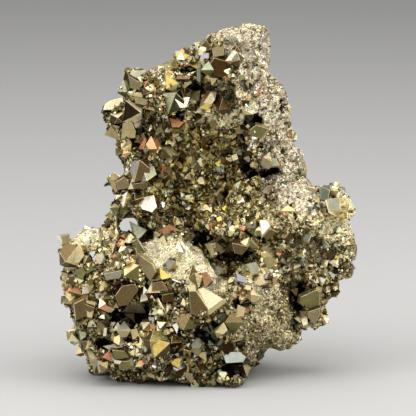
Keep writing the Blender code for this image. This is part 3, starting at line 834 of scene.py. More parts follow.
@dataclass(frozen=True)
class KeyFacet:
    """A crystal by the facet that it shows: its outline in the display view and its tints.

    A facet that leans 1 looks up, and one that leans -1 looks down. lift brings the crystal
    nearer, in millimetres.
    """

    outline: tuple[tuple[float, float], ...]
    tint: Tint
    side: Tint
    lean: int = 1
    lift: float = 0.0

    def centre(self) -> np.ndarray:
        """Returns the outline's middle."""
        return np.array(self.outline).mean(axis=0)

    def radius(self) -> float:
        """Returns the outline's mean reach from its middle."""
        return float(np.linalg.norm(np.array(self.outline) - self.centre(), axis=1).mean())

    def corners(self) -> tuple[np.ndarray, np.ndarray]:
        """Finds the crystal whose facet has this outline: an octahedron, or else a block.

        Returns:
            The crystal's corners as (u, v, w) from the facet's middle, and the facet's normal.
        """
        flat = np.array(self.outline) - self.centre()
        if len(flat) == 3:
            return self._octahedron(flat)
        turned = BLOCK_TURN * math.sin(flat.sum() * TURN_STEP)
        normal = np.array([turned, BLOCK_TILT * self.lean, BLOCK_FACING])
        normal /= np.linalg.norm(normal)
        depth = -(flat @ normal[:2]) / normal[2]
        front = np.c_[flat, depth]
        back = BLOCK_DEPTH * self.radius()
        widened = 1 + back / math.tan(math.radians(OCTAHEDRAL_ANGLE)) / self.radius()
        return np.vstack([front, front * widened - normal * back]), normal

    def _octahedron(self, flat: np.ndarray) -> tuple[np.ndarray, np.ndarray]:
        """Finds the octahedron one of whose faces is seen as a triangle.

        Args:
            flat: The triangle's corners as seen.

        Returns:
            The corners of the octahedron's front share and the face's normal.
        """
        a, b = flat[1] - flat[0], flat[2] - flat[0]
        aa, bb, ab = a @ a, b @ b, a @ b
        half = aa + bb - ab
        side = (half + math.sqrt(max(half * half - 3 * (aa * bb - ab * ab), 0.0))) / 1.5
        depth_a = math.sqrt(max(side - aa, 0.0))
        depth_b = math.copysign(math.sqrt(max(side - bb, 0.0)), side / 2 - ab)
        best = None
        for sign in (1, -1):
            depths = np.array([0.0, depth_a, depth_b]) * sign
            face = np.c_[flat, depths - depths.mean()]
            normal = np.cross(face[1] - face[0], face[2] - face[0])
            normal /= np.linalg.norm(normal) * math.copysign(1, normal[2])
            if best is None or normal[1] * self.lean > best[1][1] * self.lean:
                best = face, normal
        face, normal = best
        opposite = -2 * normal * math.sqrt(side / 6) - face
        back = [
            face[i] + (opposite[j] - face[i]) * GROWN_FREE
            for i in range(3) for j in range(3) if i != j
        ]
        return np.vstack([face, back]), normal


# each key facet: its outline, its tint, the tint of its other faces, its lean and its lift; the
# tints paint in the reflections, highlights and shade that the faces show
KEY_ROWS = (
    # crown and upper left slope
    (((-34.5, 152.5), (-27, 153), (-29, 146)), Tint.GREY, Tint.CREAM),
    (((-35.5, 150), (-34.5, 144), (-30.5, 143), (-29, 146)), Tint.BRONZE, Tint.UMBER, -1),
    (((-28.5, 147), (-26.5, 147.5), (-28, 144)), Tint.COPPER, Tint.UMBER),
    (((-23, 143), (-21.5, 142), (-22.5, 140.5)), Tint.COPPER, Tint.UMBER),
    (((-48.5, 133), (-47.5, 136), (-45.5, 137.5), (-38.5, 139.5), (-38, 133.5)),
     Tint.CREAM, Tint.UMBER),
    (((-45, 131), (-38, 132), (-41, 129)), Tint.CREAM, Tint.UMBER),
    (((-37.5, 138), (-29.5, 131.5), (-38.5, 127)), Tint.SHADOW, Tint.CREAM, -1),
    (((-38.5, 126.5), (-34.5, 127), (-32, 122.5), (-32.5, 119), (-39.5, 118.5)),
     Tint.TAN, Tint.UMBER, -1),
    (((-34.5, 127.5), (-29.5, 128), (-32, 124)), Tint.PEARL, Tint.UMBER),
    (((-32.5, 140), (-25.5, 138), (-27.5, 135.5), (-32, 136.5)), Tint.BRONZE, Tint.UMBER),
    (((-24.5, 120), (-21.5, 113.5), (-28.5, 113.5)), Tint.COPPER, Tint.ORANGE),
    (((-27, 118), (-28.5, 113.5), (-31, 113.5)), Tint.COPPER, Tint.UMBER),
    (((-25, 113), (-21, 113), (-21.5, 111.5), (-24.5, 111.5)), Tint.PALE_GREEN, Tint.OLIVE),
    (((-20, 141.5), (-12, 141.5), (-16, 131)), Tint.PALE_GREEN, Tint.DARK_OLIVE),
    (((-13.5, 141.5), (-5, 139.5), (-12.5, 138.5)), Tint.TAN, Tint.UMBER),
    (((-15, 129), (-8, 127), (-10.5, 124.5), (-14, 124.5)), Tint.COPPER, Tint.UMBER),
    (((3, 143), (5.5, 142), (1.5, 136.5)), Tint.COPPER, Tint.CREAM),
    (((6, 140), (10, 140.5), (13, 134.5), (9.5, 133.5)),
     Tint.PALE_GREEN, Tint.UMBER, 1, 1.5),
    (((4.5, 138.5), (9.5, 133), (11, 130)), Tint.UMBER, Tint.BROWN, -1),
    (((7, 159), (4.5, 155.5), (8.5, 150), (14.5, 150.5), (12.5, 157.5)),
     Tint.BROWN, Tint.UMBER, -1),
    (((4, 158), (7, 153), (0.5, 153)), Tint.SAGE, Tint.OLIVE),
    (((1, 161.5), (4.5, 161.5), (4.5, 158.5), (0, 158.5)), Tint.LAVENDER, Tint.TAN),
    (((6, 163.5), (9, 165), (12, 164), (12, 160.5), (7, 159.5)), Tint.BRONZE, Tint.UMBER),
    (((10.5, 162), (12, 162), (11, 160.5)), Tint.WHITE, Tint.TAN),
    (((15, 157), (18.5, 162), (20, 158)), Tint.GREY, Tint.UMBER),
    (((20, 162), (21.5, 159.5), (19.5, 159)), Tint.PALE_GREEN, Tint.OLIVE),
    (((0.5, 165.5), (3, 168), (5, 165), (4.5, 162)), Tint.UMBER, Tint.TAN, -1),
    (((-14, 150), (-5, 149.5), (-5.5, 148.5), (-13.5, 148.5)), Tint.RUST, Tint.UMBER),
    (((-1.5, 155), (0.5, 154.5), (0, 147), (-1.5, 148)), Tint.SLATE, Tint.OLIVE),
    (((12.5, 150), (14.5, 149), (13, 147)), Tint.COPPER, Tint.UMBER),
    (((0, 122.5), (5, 123), (4.5, 118.5)), Tint.OLIVE, Tint.UMBER, -1),
    # right wall
    (((25, 123), (28, 125.5), (34, 123.5), (31, 119), (26.5, 119.5)),
     Tint.OLIVE, Tint.TAN, -1),
    (((35.5, 108), (38, 109), (39.5, 105.5), (36, 105)), Tint.SAGE, Tint.TAN),
    # left of the hollow, above the hole
    (((-36.5, 106.5), (-30, 108), (-33, 96.5)), Tint.PEARL, Tint.UMBER),
    (((-29.5, 107), (-26.5, 97.5), (-33, 96.5)), Tint.PEARL, Tint.BROWN),
    (((-42, 97), (-38, 99.5), (-35.5, 98), (-35.5, 94), (-41, 93)),
     Tint.BRONZE, Tint.UMBER, -1),
    (((-33.5, 96), (-26, 97), (-26.5, 94), (-32.5, 93.5)), Tint.UMBER, Tint.BROWN, -1),
    (((-25, 98), (-23.5, 97.5), (-26, 91.5), (-29.5, 93.5)), Tint.WHITE, Tint.TAN, 1, 1.0),
    (((-32, 88.5), (-23, 90.5), (-29, 83.5)), Tint.WHITE, Tint.UMBER),
    (((-23, 89.5), (-21, 80.5), (-29, 83)), Tint.BROWN, Tint.UMBER, -1),
    (((-32.5, 88), (-29, 83), (-36, 86.5)), Tint.UMBER, Tint.BROWN, -1),
    (((-34.5, 77), (-26.5, 73), (-29, 70), (-32, 67.5)), Tint.PALE_GREEN, Tint.OLIVE),
    (((-21, 72.5), (-15.5, 76), (-9.5, 72.5), (-16, 69.5)), Tint.RUST, Tint.UMBER),
    # left block
    (((-68, 65.5), (-60.5, 66), (-67, 57)), Tint.BRONZE, Tint.STRAW),
    (((-60.5, 66), (-60, 54.5), (-67, 57)), Tint.STRAW, Tint.UMBER, -1),
    (((-67.5, 57), (-60.5, 54.5), (-66, 51.5)), Tint.CREAM, Tint.TAN),
    (((-68, 54.5), (-61.5, 54), (-65, 51.5)), Tint.CREAM, Tint.BROWN, -1),
    (((-63, 51.5), (-59.5, 55), (-57, 52), (-58.5, 49)), Tint.OLIVE, Tint.SAGE),
    (((-69.5, 70), (-65.5, 71), (-65, 66.5), (-69, 66)), Tint.BRONZE, Tint.STRAW),
    (((-65, 67), (-63.5, 66.5), (-64.5, 65)), Tint.COPPER, Tint.TAN),
    (((-56, 62), (-52, 63), (-53.5, 59)), Tint.STEEL, Tint.OLIVE),
    (((-59, 61), (-56, 60), (-58, 56)), Tint.CREAM, Tint.UMBER),
    (((-61, 46), (-59, 40.5), (-65, 42.5)), Tint.RUST, Tint.UMBER),
    (((-39, 66.5), (-35.5, 63.5), (-41, 62)), Tint.CREAM, Tint.TAN),
    (((-31.5, 61.5), (-24, 56), (-22, 52), (-25, 47.5), (-32.5, 57)),
     Tint.BRONZE, Tint.TAN, -1),
    (((-30.5, 55.5), (-30.5, 47), (-38, 50)), Tint.OLIVE, Tint.OLIVE, -1),
    (((-48, 51), (-38.5, 53), (-40, 49), (-46.5, 48)), Tint.GREY, Tint.GREY, -1),
    (((-49.5, 51.5), (-42.5, 55), (-43, 53.5), (-49, 50.5)), Tint.WHITE, Tint.TAN),
    (((-39, 45), (-32.5, 46), (-31, 43), (-36, 35.5), (-40.5, 35), (-42.5, 40)),
     Tint.UMBER, Tint.BROWN, -1),
    (((-23.5, 46.5), (-19, 47.5), (-16, 43), (-24, 42.5)), Tint.UMBER, Tint.TAN),
    (((-29, 43), (-26.5, 40), (-26, 38), (-30, 37)), Tint.WHITE, Tint.TAN),
    (((-47.5, 35), (-43.5, 37.5), (-42.5, 33.5)), Tint.COPPER, Tint.UMBER),
    (((-14, 49), (-7, 46), (-7.5, 45), (-14, 48)), Tint.WHITE, Tint.TAN),
    (((-19, 40.5), (-13.5, 41.5), (-13.5, 37.5), (-18.5, 36.5)),
     Tint.BROWN, Tint.UMBER, -1),
    (((-8.5, 39), (-6.3, 36.5), (-5.5, 33.5), (-9.5, 36)), Tint.CREAM, Tint.TAN),
    (((-67.5, 40.5), (-62, 40), (-65, 37.5)), Tint.CREAM, Tint.TAN),
    (((-59, 36.5), (-53.5, 38), (-52.5, 34)), Tint.RUST, Tint.UMBER),
    (((-64.5, 23.5), (-62, 27), (-62, 22.5)), Tint.CREAM, Tint.TAN),
    (((-60.5, 22.5), (-58, 24.5), (-56.5, 20), (-59.5, 18)), Tint.SAGE, Tint.OLIVE),
    (((-62.5, 10.5), (-61, 15.5), (-58, 12)), Tint.TAN, Tint.UMBER),
    (((-55, 10.5), (-51, 10), (-53, 1)), Tint.TAN, Tint.UMBER, -1),
    (((-48.5, 9.5), (-45, 13), (-43.5, 7)), Tint.COPPER, Tint.UMBER),
    (((-39.5, 21), (-37, 15.5), (-40.5, 15.5)), Tint.CREAM, Tint.TAN),
    (((-38, 27.5), (-34.5, 23), (-42, 23)), Tint.PEARL, Tint.TAN),
    (((-29.5, 27), (-25, 27), (-28.5, 23)), Tint.CREAM, Tint.TAN),
    (((-21.5, 27), (-17, 27), (-20, 23.5)), Tint.CREAM, Tint.UMBER),
    (((-14, 25.5), (-11, 27), (-10.8, 24), (-11.5, 21)), Tint.WHITE, Tint.UMBER),
    (((-25, 17.5), (-15, 17), (-24, 10)), Tint.TAN, Tint.OLIVE, -1),
    (((-15, 16.5), (-15.5, 9.5), (-22.5, 9.5)), Tint.UMBER, Tint.OLIVE, -1),
    (((-14.5, 16.5), (-9, 17), (-14, 13)), Tint.UMBER, Tint.BROWN, -1),
    (((-11.5, 12), (-7, 15.5), (-8, 13.5)), Tint.COPPER, Tint.UMBER),
    (((-27.5, 10), (-25, 7.5), (-26, 6)), Tint.COPPER, Tint.UMBER),
    (((-58.5, 46.5), (-55, 46), (-55.5, 41.5), (-59, 41)), Tint.PEARL, Tint.TAN),
    (((-52.5, 41.5), (-49, 41.5), (-49.5, 38), (-52, 39)), Tint.ICE, Tint.OLIVE),
    (((-63, 36), (-58, 38.5), (-57, 30), (-62, 28)), Tint.UMBER, Tint.TAN, -1),
    (((-57, 38), (-52, 37), (-54, 29), (-56.5, 30)), Tint.TAN, Tint.UMBER),
    (((-48, 24), (-46.5, 24), (-47, 20), (-48.5, 20)), Tint.PEARL, Tint.TAN),
    (((-44.5, 27), (-42, 27), (-43, 25)), Tint.WHITE, Tint.GOLD),
    (((-35, 23), (-31.5, 24), (-30.5, 20), (-33.5, 18)), Tint.TAN, Tint.UMBER),
    (((-44, 21.5), (-40.5, 21), (-41.5, 18)), Tint.TAN, Tint.TAN),
    (((-48.5, 15), (-39.5, 16.5), (-38.5, 14.5), (-45.5, 13)), Tint.GREY, Tint.BROWN),
    (((-44, 13), (-38, 12.5), (-35.5, 9.5), (-42, 8)), Tint.OLIVE, Tint.UMBER, -1),
    (((-42.5, 8), (-39, 7.5), (-40, 6), (-43, 6.5)), Tint.PEARL, Tint.TAN),
    (((-57, 14), (-54, 16.5), (-50, 9), (-55, 8.5)), Tint.TAN, Tint.CREAM),
    (((-60, 17.5), (-56, 17.5), (-57.5, 13)), Tint.UMBER, Tint.CREAM, -1),
    (((-41, 7), (-30, 8), (-29, 4), (-40, 3)), Tint.OLIVE, Tint.TAN, -1),
    (((-27, 2.5), (-22, 3), (-23, -1), (-26, 0)), Tint.TAN, Tint.OLIVE),
    (((6.5, 23), (12, 27), (7.5, 22)), Tint.CREAM, Tint.TAN),
    (((-8.5, 15.5), (-5, 16.5), (-6.5, 13)), Tint.GREY, Tint.TAN),
    (((-6, 162), (-2, 165.5), (-0.5, 162.5), (-4.5, 160)), Tint.GREY, Tint.TAN),
    (((16, 164), (18.5, 165), (16.5, 161)), Tint.BROWN, Tint.UMBER),
    # the largest crystal, the ledge and the lower right
    (((-2.5, 43), (2, 44), (11.5, 38.5), (4, 33)), Tint.CREAM, Tint.STRAW, 1, 2.5),
    (((-5.5, 42.5), (-2, 42.5), (4, 33.5), (3.5, 30.5), (-4.5, 31)),
     Tint.UMBER, Tint.TAN, -1),
    (((-4, 31.5), (-1.5, 24), (-8.5, 23)), Tint.OLIVE, Tint.UMBER, -1),
    (((0.5, 51.5), (3.5, 52), (6, 48), (2.5, 44)), Tint.RUST, Tint.UMBER),
    (((18, 51.5), (22.5, 49.5), (24.5, 46), (19, 47.5)), Tint.LAVENDER, Tint.GREY),
    (((23.5, 56), (28, 57), (31, 52), (26, 51)), Tint.GREY, Tint.CREAM),
    (((19.5, 44.5), (21, 44), (20, 42.5)), Tint.COPPER, Tint.TAN),
    (((20, 40.5), (23, 39.5), (21, 38)), Tint.TAN, Tint.TAN),
    (((25, 44.5), (30.5, 40), (25.5, 41)), Tint.CREAM, Tint.TAN),
    (((19, 35.5), (22.5, 34), (21.5, 30), (18, 29.5)), Tint.TAN, Tint.COPPER),
    (((12.5, 27), (22, 27), (16.5, 20)), Tint.OLIVE, Tint.UMBER, -1),
    (((11, 12), (20, 12), (23, 9.5), (21.5, 7), (13, 6.5)), Tint.ICE, Tint.SHADOW),
    (((7.5, 15), (9.5, 14.5), (8.5, 13)), Tint.WHITE, Tint.TAN),
    (((10.5, 20), (12, 19.5), (11, 18)), Tint.COPPER, Tint.TAN),
    (((21.5, 6), (26, 5), (23.5, -0.5)), Tint.BRONZE, Tint.UMBER),
    # right lobe and the middle
    (((50.5, 39.5), (58, 43), (60, 42), (59.5, 35), (53.5, 33), (50, 36.5)),
     Tint.OLIVE, Tint.TAN, -1),
    (((54, 32), (60, 34), (59.5, 29.5), (57, 25.5), (54.5, 29)),
     Tint.BRONZE, Tint.UMBER, -1),
    (((50, 30), (53.5, 30.5), (54, 26), (51.5, 25)), Tint.CREAM, Tint.TAN),
    (((30, 78), (33, 78), (35, 75), (31, 70.5)), Tint.WHITE, Tint.CREAM),
    (((31, 70.5), (35, 73.5), (38.5, 72), (34, 68)), Tint.UMBER, Tint.BROWN, -1),
    (((16, 66.5), (19, 69), (24.5, 64.5)), Tint.RUST, Tint.UMBER),
    (((25.5, 68), (27.5, 68.5), (29, 64.5)), Tint.PALE_GREEN, Tint.OLIVE),
    (((11, 69.5), (15, 65), (7.5, 66.5)), Tint.BROWN, Tint.TAN, -1),
    (((7, 89.5), (9.5, 92), (11.5, 88)), Tint.PALE_GREEN, Tint.OLIVE),
    (((17, 92), (20, 88), (16.5, 88.5)), Tint.RUST, Tint.UMBER),
    (((53.5, 94.5), (59, 93.5), (57, 90.5), (53, 91)), Tint.BRONZE, Tint.RUST),
    (((60, 95), (65, 93), (64, 88), (60, 88.5)), Tint.SLATE, Tint.GREY),
    (((64, 88.5), (70, 89), (70, 83.5), (64.5, 83)), Tint.GREY, Tint.STRAW),
    (((51.5, 71.5), (55.5, 70.5), (54, 67), (51.5, 68)), Tint.SLATE, Tint.TAN),
    (((62.5, 68), (65, 64.5), (61, 63.5)), Tint.SLATE, Tint.OLIVE),
    (((63.5, 64.5), (65, 64), (64, 62.5)), Tint.WHITE, Tint.TAN),
    (((43, 84), (44.5, 83.5), (43.5, 82)), Tint.WHITE, Tint.TAN),
)
KEY_FACETS = tuple(KeyFacet(*row) for row in KEY_ROWS)


@dataclass
class KeyCrystals:
    """The crystals that are seen best, each set on the surface behind its outline.

    A crystal's middle is stand radii in front of the surface. Its root goes root_depth
    millimetres into it, narrowed to root_width of the outline. own_sides is the share of its
    other faces that have its side's tint.
    """

    tree: BVHTree
    view_centre: tuple[float, float]
    view_distance: float
    seed: int = 31
    stand: float = 0.5
    root_depth: float = 3.0
    root_width: float = 0.6
    edge_width: float = 0.10
    own_sides: float = 0.93
    same_way: float = 0.999
    gloss: tuple[float, float] = (0.26, 0.40)

    def build(self) -> bpy.types.Object:
        """Makes the piece.

        Returns:
            The object.
        """
        chance = np.random.default_rng(self.seed)
        points, faces, tints = [], [], []
        for key in KEY_FACETS:
            places, normal = self._seat(key)
            body = hull_of(places)
            flats = [np.array(face.normal) for face in body.faces]
            sides = pick_tints(CRYSTAL_PALETTE, chance.random(len(flats)))
            kept = chance.random((len(flats), 1)) < self.own_sides
            own = np.where(kept, np.array(key.side.value), sides)
            own[int(np.argmax([flat @ normal for flat in flats]))] = key.tint.value
            bmesh.ops.bevel(body, geom=list(body.edges), offset=self.edge_width * MM,
                            affect="EDGES", segments=1)
            start = len(points)
            points += [tuple(vertex.co) for vertex in body.verts]
            for face in body.faces:
                faces.append([start + vertex.index for vertex in face.verts])
                match = [flat @ np.array(face.normal) for flat in flats]
                tint = own[int(np.argmax(match))]
                # bevel faces take a lighter tint: a painted highlight along the edges
                edge_highlight = (tint + Tint.CREAM.value) / 2
                tints.append(tint if max(match) > self.same_way else edge_highlight)
            body.free()
        mesh = bpy.data.meshes.new("key_crystals")
        mesh.from_pydata(points, [], faces)
        paint_faces(mesh, np.array(tints), chance.uniform(*self.gloss, len(tints)))
        mesh.materials.append(FACE_FINISH.build())
        LOG.info("key_crystals: %d faces", len(faces))
        return add_piece("key_crystals", mesh)

    def _seat(self, key: KeyFacet) -> tuple[np.ndarray, np.ndarray]:
        """Sets a crystal on the surface behind its outline.

        Args:
            key: The crystal.

        Returns:
            Its corners in metres and its facet's normal.
        """
        u, v = key.centre()
        hit = self.tree.ray_cast(to_frame(u, v, FAR), -TO_VIEWER)[0]
        if hit is None:
            LOG.warning("nothing behind the crystal at %.1f, %.1f", u, v)
            hit = self.tree.find_nearest(to_frame(u, v, 0.0))[0]
        rise = self.stand * key.radius() + key.lift
        w = display_of(np.array([hit]))[0, 2] + rise
        nearer = 1 - w / (self.view_distance / MM)
        seen = np.array(self.view_centre) + (key.centre() - self.view_centre) * nearer
        middle = np.array([*seen, w])
        corners, normal = key.corners()
        flat = (np.array(key.outline) - key.centre()) * self.root_width
        root = np.c_[flat, np.full(len(flat), -rise - self.root_depth)]
        corners = np.vstack([corners, root])
        places = np.array([to_frame(*(middle + corner * nearer)) for corner in corners])
        return places, np.array(to_frame(*normal).normalized())


# ---------------------------------------------------------------- the faceted crystals


COPLANAR = 0.999995  # the cosine above which two faces look the same way
TINY = 1e-12  # keeps a region without a way from dividing by nothing
SLIVER = 2e-9  # a face smaller than this, in square metres, has no way of its own
# cluster faces whose tint is given: place across and up, and the tint, which paints in the
# reflections, highlights and shade that the faces show
FACE_TINTS: tuple[tuple[float, float, Tint], ...] = (
    (-1.5, 48.0, Tint.TAN), (-15.5, 58.0, Tint.PEARL), (-10.0, 64.5, Tint.PEARL),
    # upper left rim
    (-35.0, 132.0, Tint.DARK_OLIVE), (-31.0, 137.5, Tint.TAN), (-26.5, 116.0, Tint.COPPER),
    (-38.5, 113.5, Tint.GOLD), (-12.5, 139.5, Tint.TAN), (-13.5, 127.0, Tint.COPPER),
    # crown
    (1.5, 155.5, Tint.PALE_GREEN), (0.0, 160.5, Tint.LAVENDER), (5.5, 161.5, Tint.TAN),
    (16.0, 159.0, Tint.GREY), (15.5, 151.0, Tint.SAGE), (1.0, 140.0, Tint.COPPER),
    # right wall and the hollow's upper rim
    (0.0, 121.0, Tint.OLIVE),
    # left of the hollow, above the hole
    (-42.0, 96.0, Tint.TAN), (-28.5, 94.5, Tint.WHITE), (-33.5, 71.5, Tint.SAGE),
    # left block, upper half
    (-66.5, 67.5, Tint.TAN), (-64.0, 43.0, Tint.COPPER), (-67.5, 39.5, Tint.CREAM),
    (-30.5, 40.0, Tint.WHITE), (-23.0, 44.0, Tint.TAN), (-47.5, 34.5, Tint.COPPER),
    # the largest crystal
    (-9.0, 25.5, Tint.OLIVE),
    # left block, lower half
    (-61.0, 21.5, Tint.TAN), (-41.0, 25.0, Tint.CREAM), (-14.8, 24.5, Tint.WHITE),
    (-54.5, 6.5, Tint.TAN), (-47.5, 9.5, Tint.COPPER), (-42.0, 10.5, Tint.GREY),
    (-28.5, 8.0, Tint.COPPER), (-11.5, 13.5, Tint.COPPER),
    # lower right mass
    (19.0, 48.0, Tint.LAVENDER), (25.0, 43.5, Tint.TAN),
    # right lobe
    (54.5, 30.5, Tint.TAN), (50.0, 28.5, Tint.CREAM), (65.5, 85.5, Tint.PALE_GREEN),
    (61.5, 92.0, Tint.GREY),
    # middle
    (29.5, 75.0, Tint.WHITE), (32.5, 71.5, Tint.UMBER),
)


@dataclass
class FacetedCrystals:
    """The crystals of the CAD cluster, with flat faces of their own tints.

    Corners that no crystal face touches are sunk, so that only crystal faces stand out of
    the granular mass. Faces wider than widest, in square millimetres, are left to the mass,
    where smaller crystals cover them. Lengths are in millimetres and angles in degrees.
    known_gloss is the roughness of the faces of FACE_TINTS. A face whose cosine with its
    region's way is below highlight_below is a bevelled edge, lightened as a painted highlight.
    """

    node: bpy.types.Object
    seed: int = 11
    sink: float = 2.2
    low_most: float = 0.7
    edge_width: float = 0.22
    widest: float = 38.0
    shortest_edge: float = 0.4
    found_slack: float = 0.25
    worn_slack: float = 0.30
    tint_spread: tuple[float, float] = (0.75, 1.15)
    gloss: tuple[float, float] = (0.25, 0.42)
    known_gloss: float = 0.22
    highlight_below: float = 0.93
    mesh: bpy.types.Mesh = field(init=False)
    regions: np.ndarray = field(init=False)
    is_crystal: np.ndarray = field(init=False)

    def __post_init__(self) -> None:
        """Finds the flat regions and which of them are crystal faces."""
        self.mesh = merged_copy(self.node, "faceted_crystals")
        body = bmesh.new()
        body.from_mesh(self.mesh)
        body.faces.ensure_lookup_table()
        self.regions = self._flat_regions(body)
        self.is_crystal = self._crystal_regions(body)[self.regions]
        body.free()

    @staticmethod
    def _flat_regions(body: bmesh.types.BMesh) -> np.ndarray:
        """Joins coplanar neighbours.

        Args:
            body: The closed mesh.

        Returns:
            The region's number for each face.
        """
        regions = np.full(len(body.faces), -1)
        count = 0
        for first in body.faces:
            if regions[first.index] >= 0:
                continue
            regions[first.index] = count
            pending = [first]
            normal = first.normal
            while pending:
                face = pending.pop()
                for edge in face.edges:
                    for other in edge.link_faces:
                        flat = other.normal.dot(normal) > COPLANAR or other.calc_area() < SLIVER
                        if regions[other.index] < 0 and flat:
                            regions[other.index] = count
                            pending.append(other)
            count += 1
        return regions

    def _crystal_regions(self, body: bmesh.types.BMesh) -> np.ndarray:
        """Finds the regions that meet another at an octahedron's angle.

        Args:
            body: The closed mesh.

        Returns:
            True for each region that is a crystal face.
        """
        count = self.regions.max() + 1
        normals = np.zeros((count, 3))
        for face in body.faces:
            normals[self.regions[face.index]] += np.array(face.normal) * face.calc_area()
        areas = np.linalg.norm(normals, axis=1, keepdims=True)
        normals /= np.maximum(areas, TINY)
        found = np.zeros(count, bool)
        for edge in body.edges:
            if len(edge.link_faces) != 2 or edge.calc_length() < self.shortest_edge * MM:
                continue
            a, b = (self.regions[face.index] for face in edge.link_faces)
            if a == b or not edge.is_convex:
                continue
            angle = math.degrees(math.acos(np.clip(normals[a] @ normals[b], -1, 1)))
            if abs(angle - OCTAHEDRAL_ANGLE) < self.found_slack:
                found[a] = found[b] = True
        return found & (areas[:, 0] < self.widest * MM * MM)

    def build(self) -> bpy.types.Object:
        """Makes the piece.

        Returns:
            The object.
        """
        touched = np.zeros(len(self.mesh.vertices), bool)
        for polygon in self.mesh.polygons:
            if self.is_crystal[polygon.index]:
                touched[list(polygon.vertices)] = True
        points, normals = vectors(self.mesh, "co"), vectors(self.mesh, "normal")
        points[~touched] -= normals[~touched] * self.sink * MM
        zones = Zones(display_of(points), normals)
        covered = np.maximum(1 - clear_of_keys(display_of(points)), zones.pit)
        facing = np.maximum(normals @ np.array(TO_VIEWER), 0.0)
        lowered = np.minimum(zones.low, self.low_most) * LOW_DEPTH
        sunk = np.maximum(covered * facing * self.sink, lowered)
        points -= normals * (sunk * MM)[:, None]
        flats = self._region_normals()
        self._mark_edges(flats)
        layer = self.mesh.attributes.new("region", "INT", "FACE")
        layer.data.foreach_set("value", self.regions.astype(np.int32))
        move_vertices(self.mesh, points)
        piece = add_piece("faceted_crystals", self.mesh)
        bevel = piece.modifiers.new("worn_edges", "BEVEL")
        bevel.limit_method = "WEIGHT"
        bevel.width = self.edge_width * MM
        bevel.segments = 1
        mesh = plain_mesh(piece)
        piece.modifiers.clear()
        piece.data = mesh
        self._paint(mesh, flats)
        mesh.materials.clear()
        mesh.materials.append(FACE_FINISH.build())
        LOG.info("crystal faces: %d of %d", self.is_crystal.sum(), len(self.is_crystal))
        return piece

    def _region_normals(self) -> np.ndarray:
        """Finds the way that each flat region looks.

        Returns:
            One normal a region.
        """
        flats = np.zeros((self.regions.max() + 1, 3))
        for polygon in self.mesh.polygons:
            flats[self.regions[polygon.index]] += np.array(polygon.normal) * polygon.area
        return flats / np.maximum(np.linalg.norm(flats, axis=1, keepdims=True), TINY)

    def _mark_edges(self, flats: np.ndarray) -> None:
        """Gives a crystal's own edges the weight by which they are worn.

        Args:
            flats: One normal a region.
        """
        body = bmesh.new()
        body.from_mesh(self.mesh)
        weight = body.edges.layers.float.new("bevel_weight_edge")
        for edge in body.edges:
            if len(edge.link_faces) != 2 or not edge.is_convex:
                continue
            a, b = (face.index for face in edge.link_faces)
            if not (self.is_crystal[a] and self.is_crystal[b]):
                continue
            cosine = flats[self.regions[a]] @ flats[self.regions[b]]
            angle = math.degrees(math.acos(np.clip(cosine, -1, 1)))
            if abs(angle - OCTAHEDRAL_ANGLE) < self.worn_slack:
                edge[weight] = 1.0
        body.to_mesh(self.mesh)
        body.free()

    def _paint(self, mesh: bpy.types.Mesh, flats: np.ndarray) -> None:
        """Gives each region a tint, by chance or as the table says, and its edges a lighter one, a
        painted highlight; pits get painted shade.

        Args:
            mesh: The finished mesh.
            flats: One normal a region.
        """
        chance = np.random.default_rng(self.seed)
        count = len(flats)
        tints = pick_tints(CRYSTAL_PALETTE, chance.random(count))
        tints *= chance.uniform(*self.tint_spread, (count, 1))
        gloss = chance.uniform(*self.gloss, count)
        tree = BVHTree.FromObject(self.node, bpy.context.evaluated_depsgraph_get())
        for u, v, tint in FACE_TINTS:
            index = tree.ray_cast(to_frame(u, v, FAR), -TO_VIEWER)[2]
            if index is not None and self.is_crystal[index]:
                near = self.regions[index]
                tints[near], gloss[near] = tint.value, self.known_gloss
            else:
                LOG.warning("no crystal face at %.1f, %.1f", u, v)
        regions = numbers(mesh.attributes["region"].data, "value")
        normals = np.array([polygon.normal for polygon in mesh.polygons])
        # bevel faces are lightened towards cream: a painted highlight along the edges
        edge_highlight = (normals * flats[regions]).sum(axis=1) < self.highlight_below
        painted = tints[regions]
        painted[edge_highlight] = painted[edge_highlight] * 0.5 + np.array(Tint.CREAM.value) * 0.5
        centres = np.array([polygon.center for polygon in mesh.polygons])
        # painted shade at the pits
        painted *= 1 + (PIT_SHADE - 1) * Zones(display_of(centres), normals).pit[:, None]
        paint_faces(mesh, painted, gloss[regions])


# ---------------------------------------------------------------- the granular mass


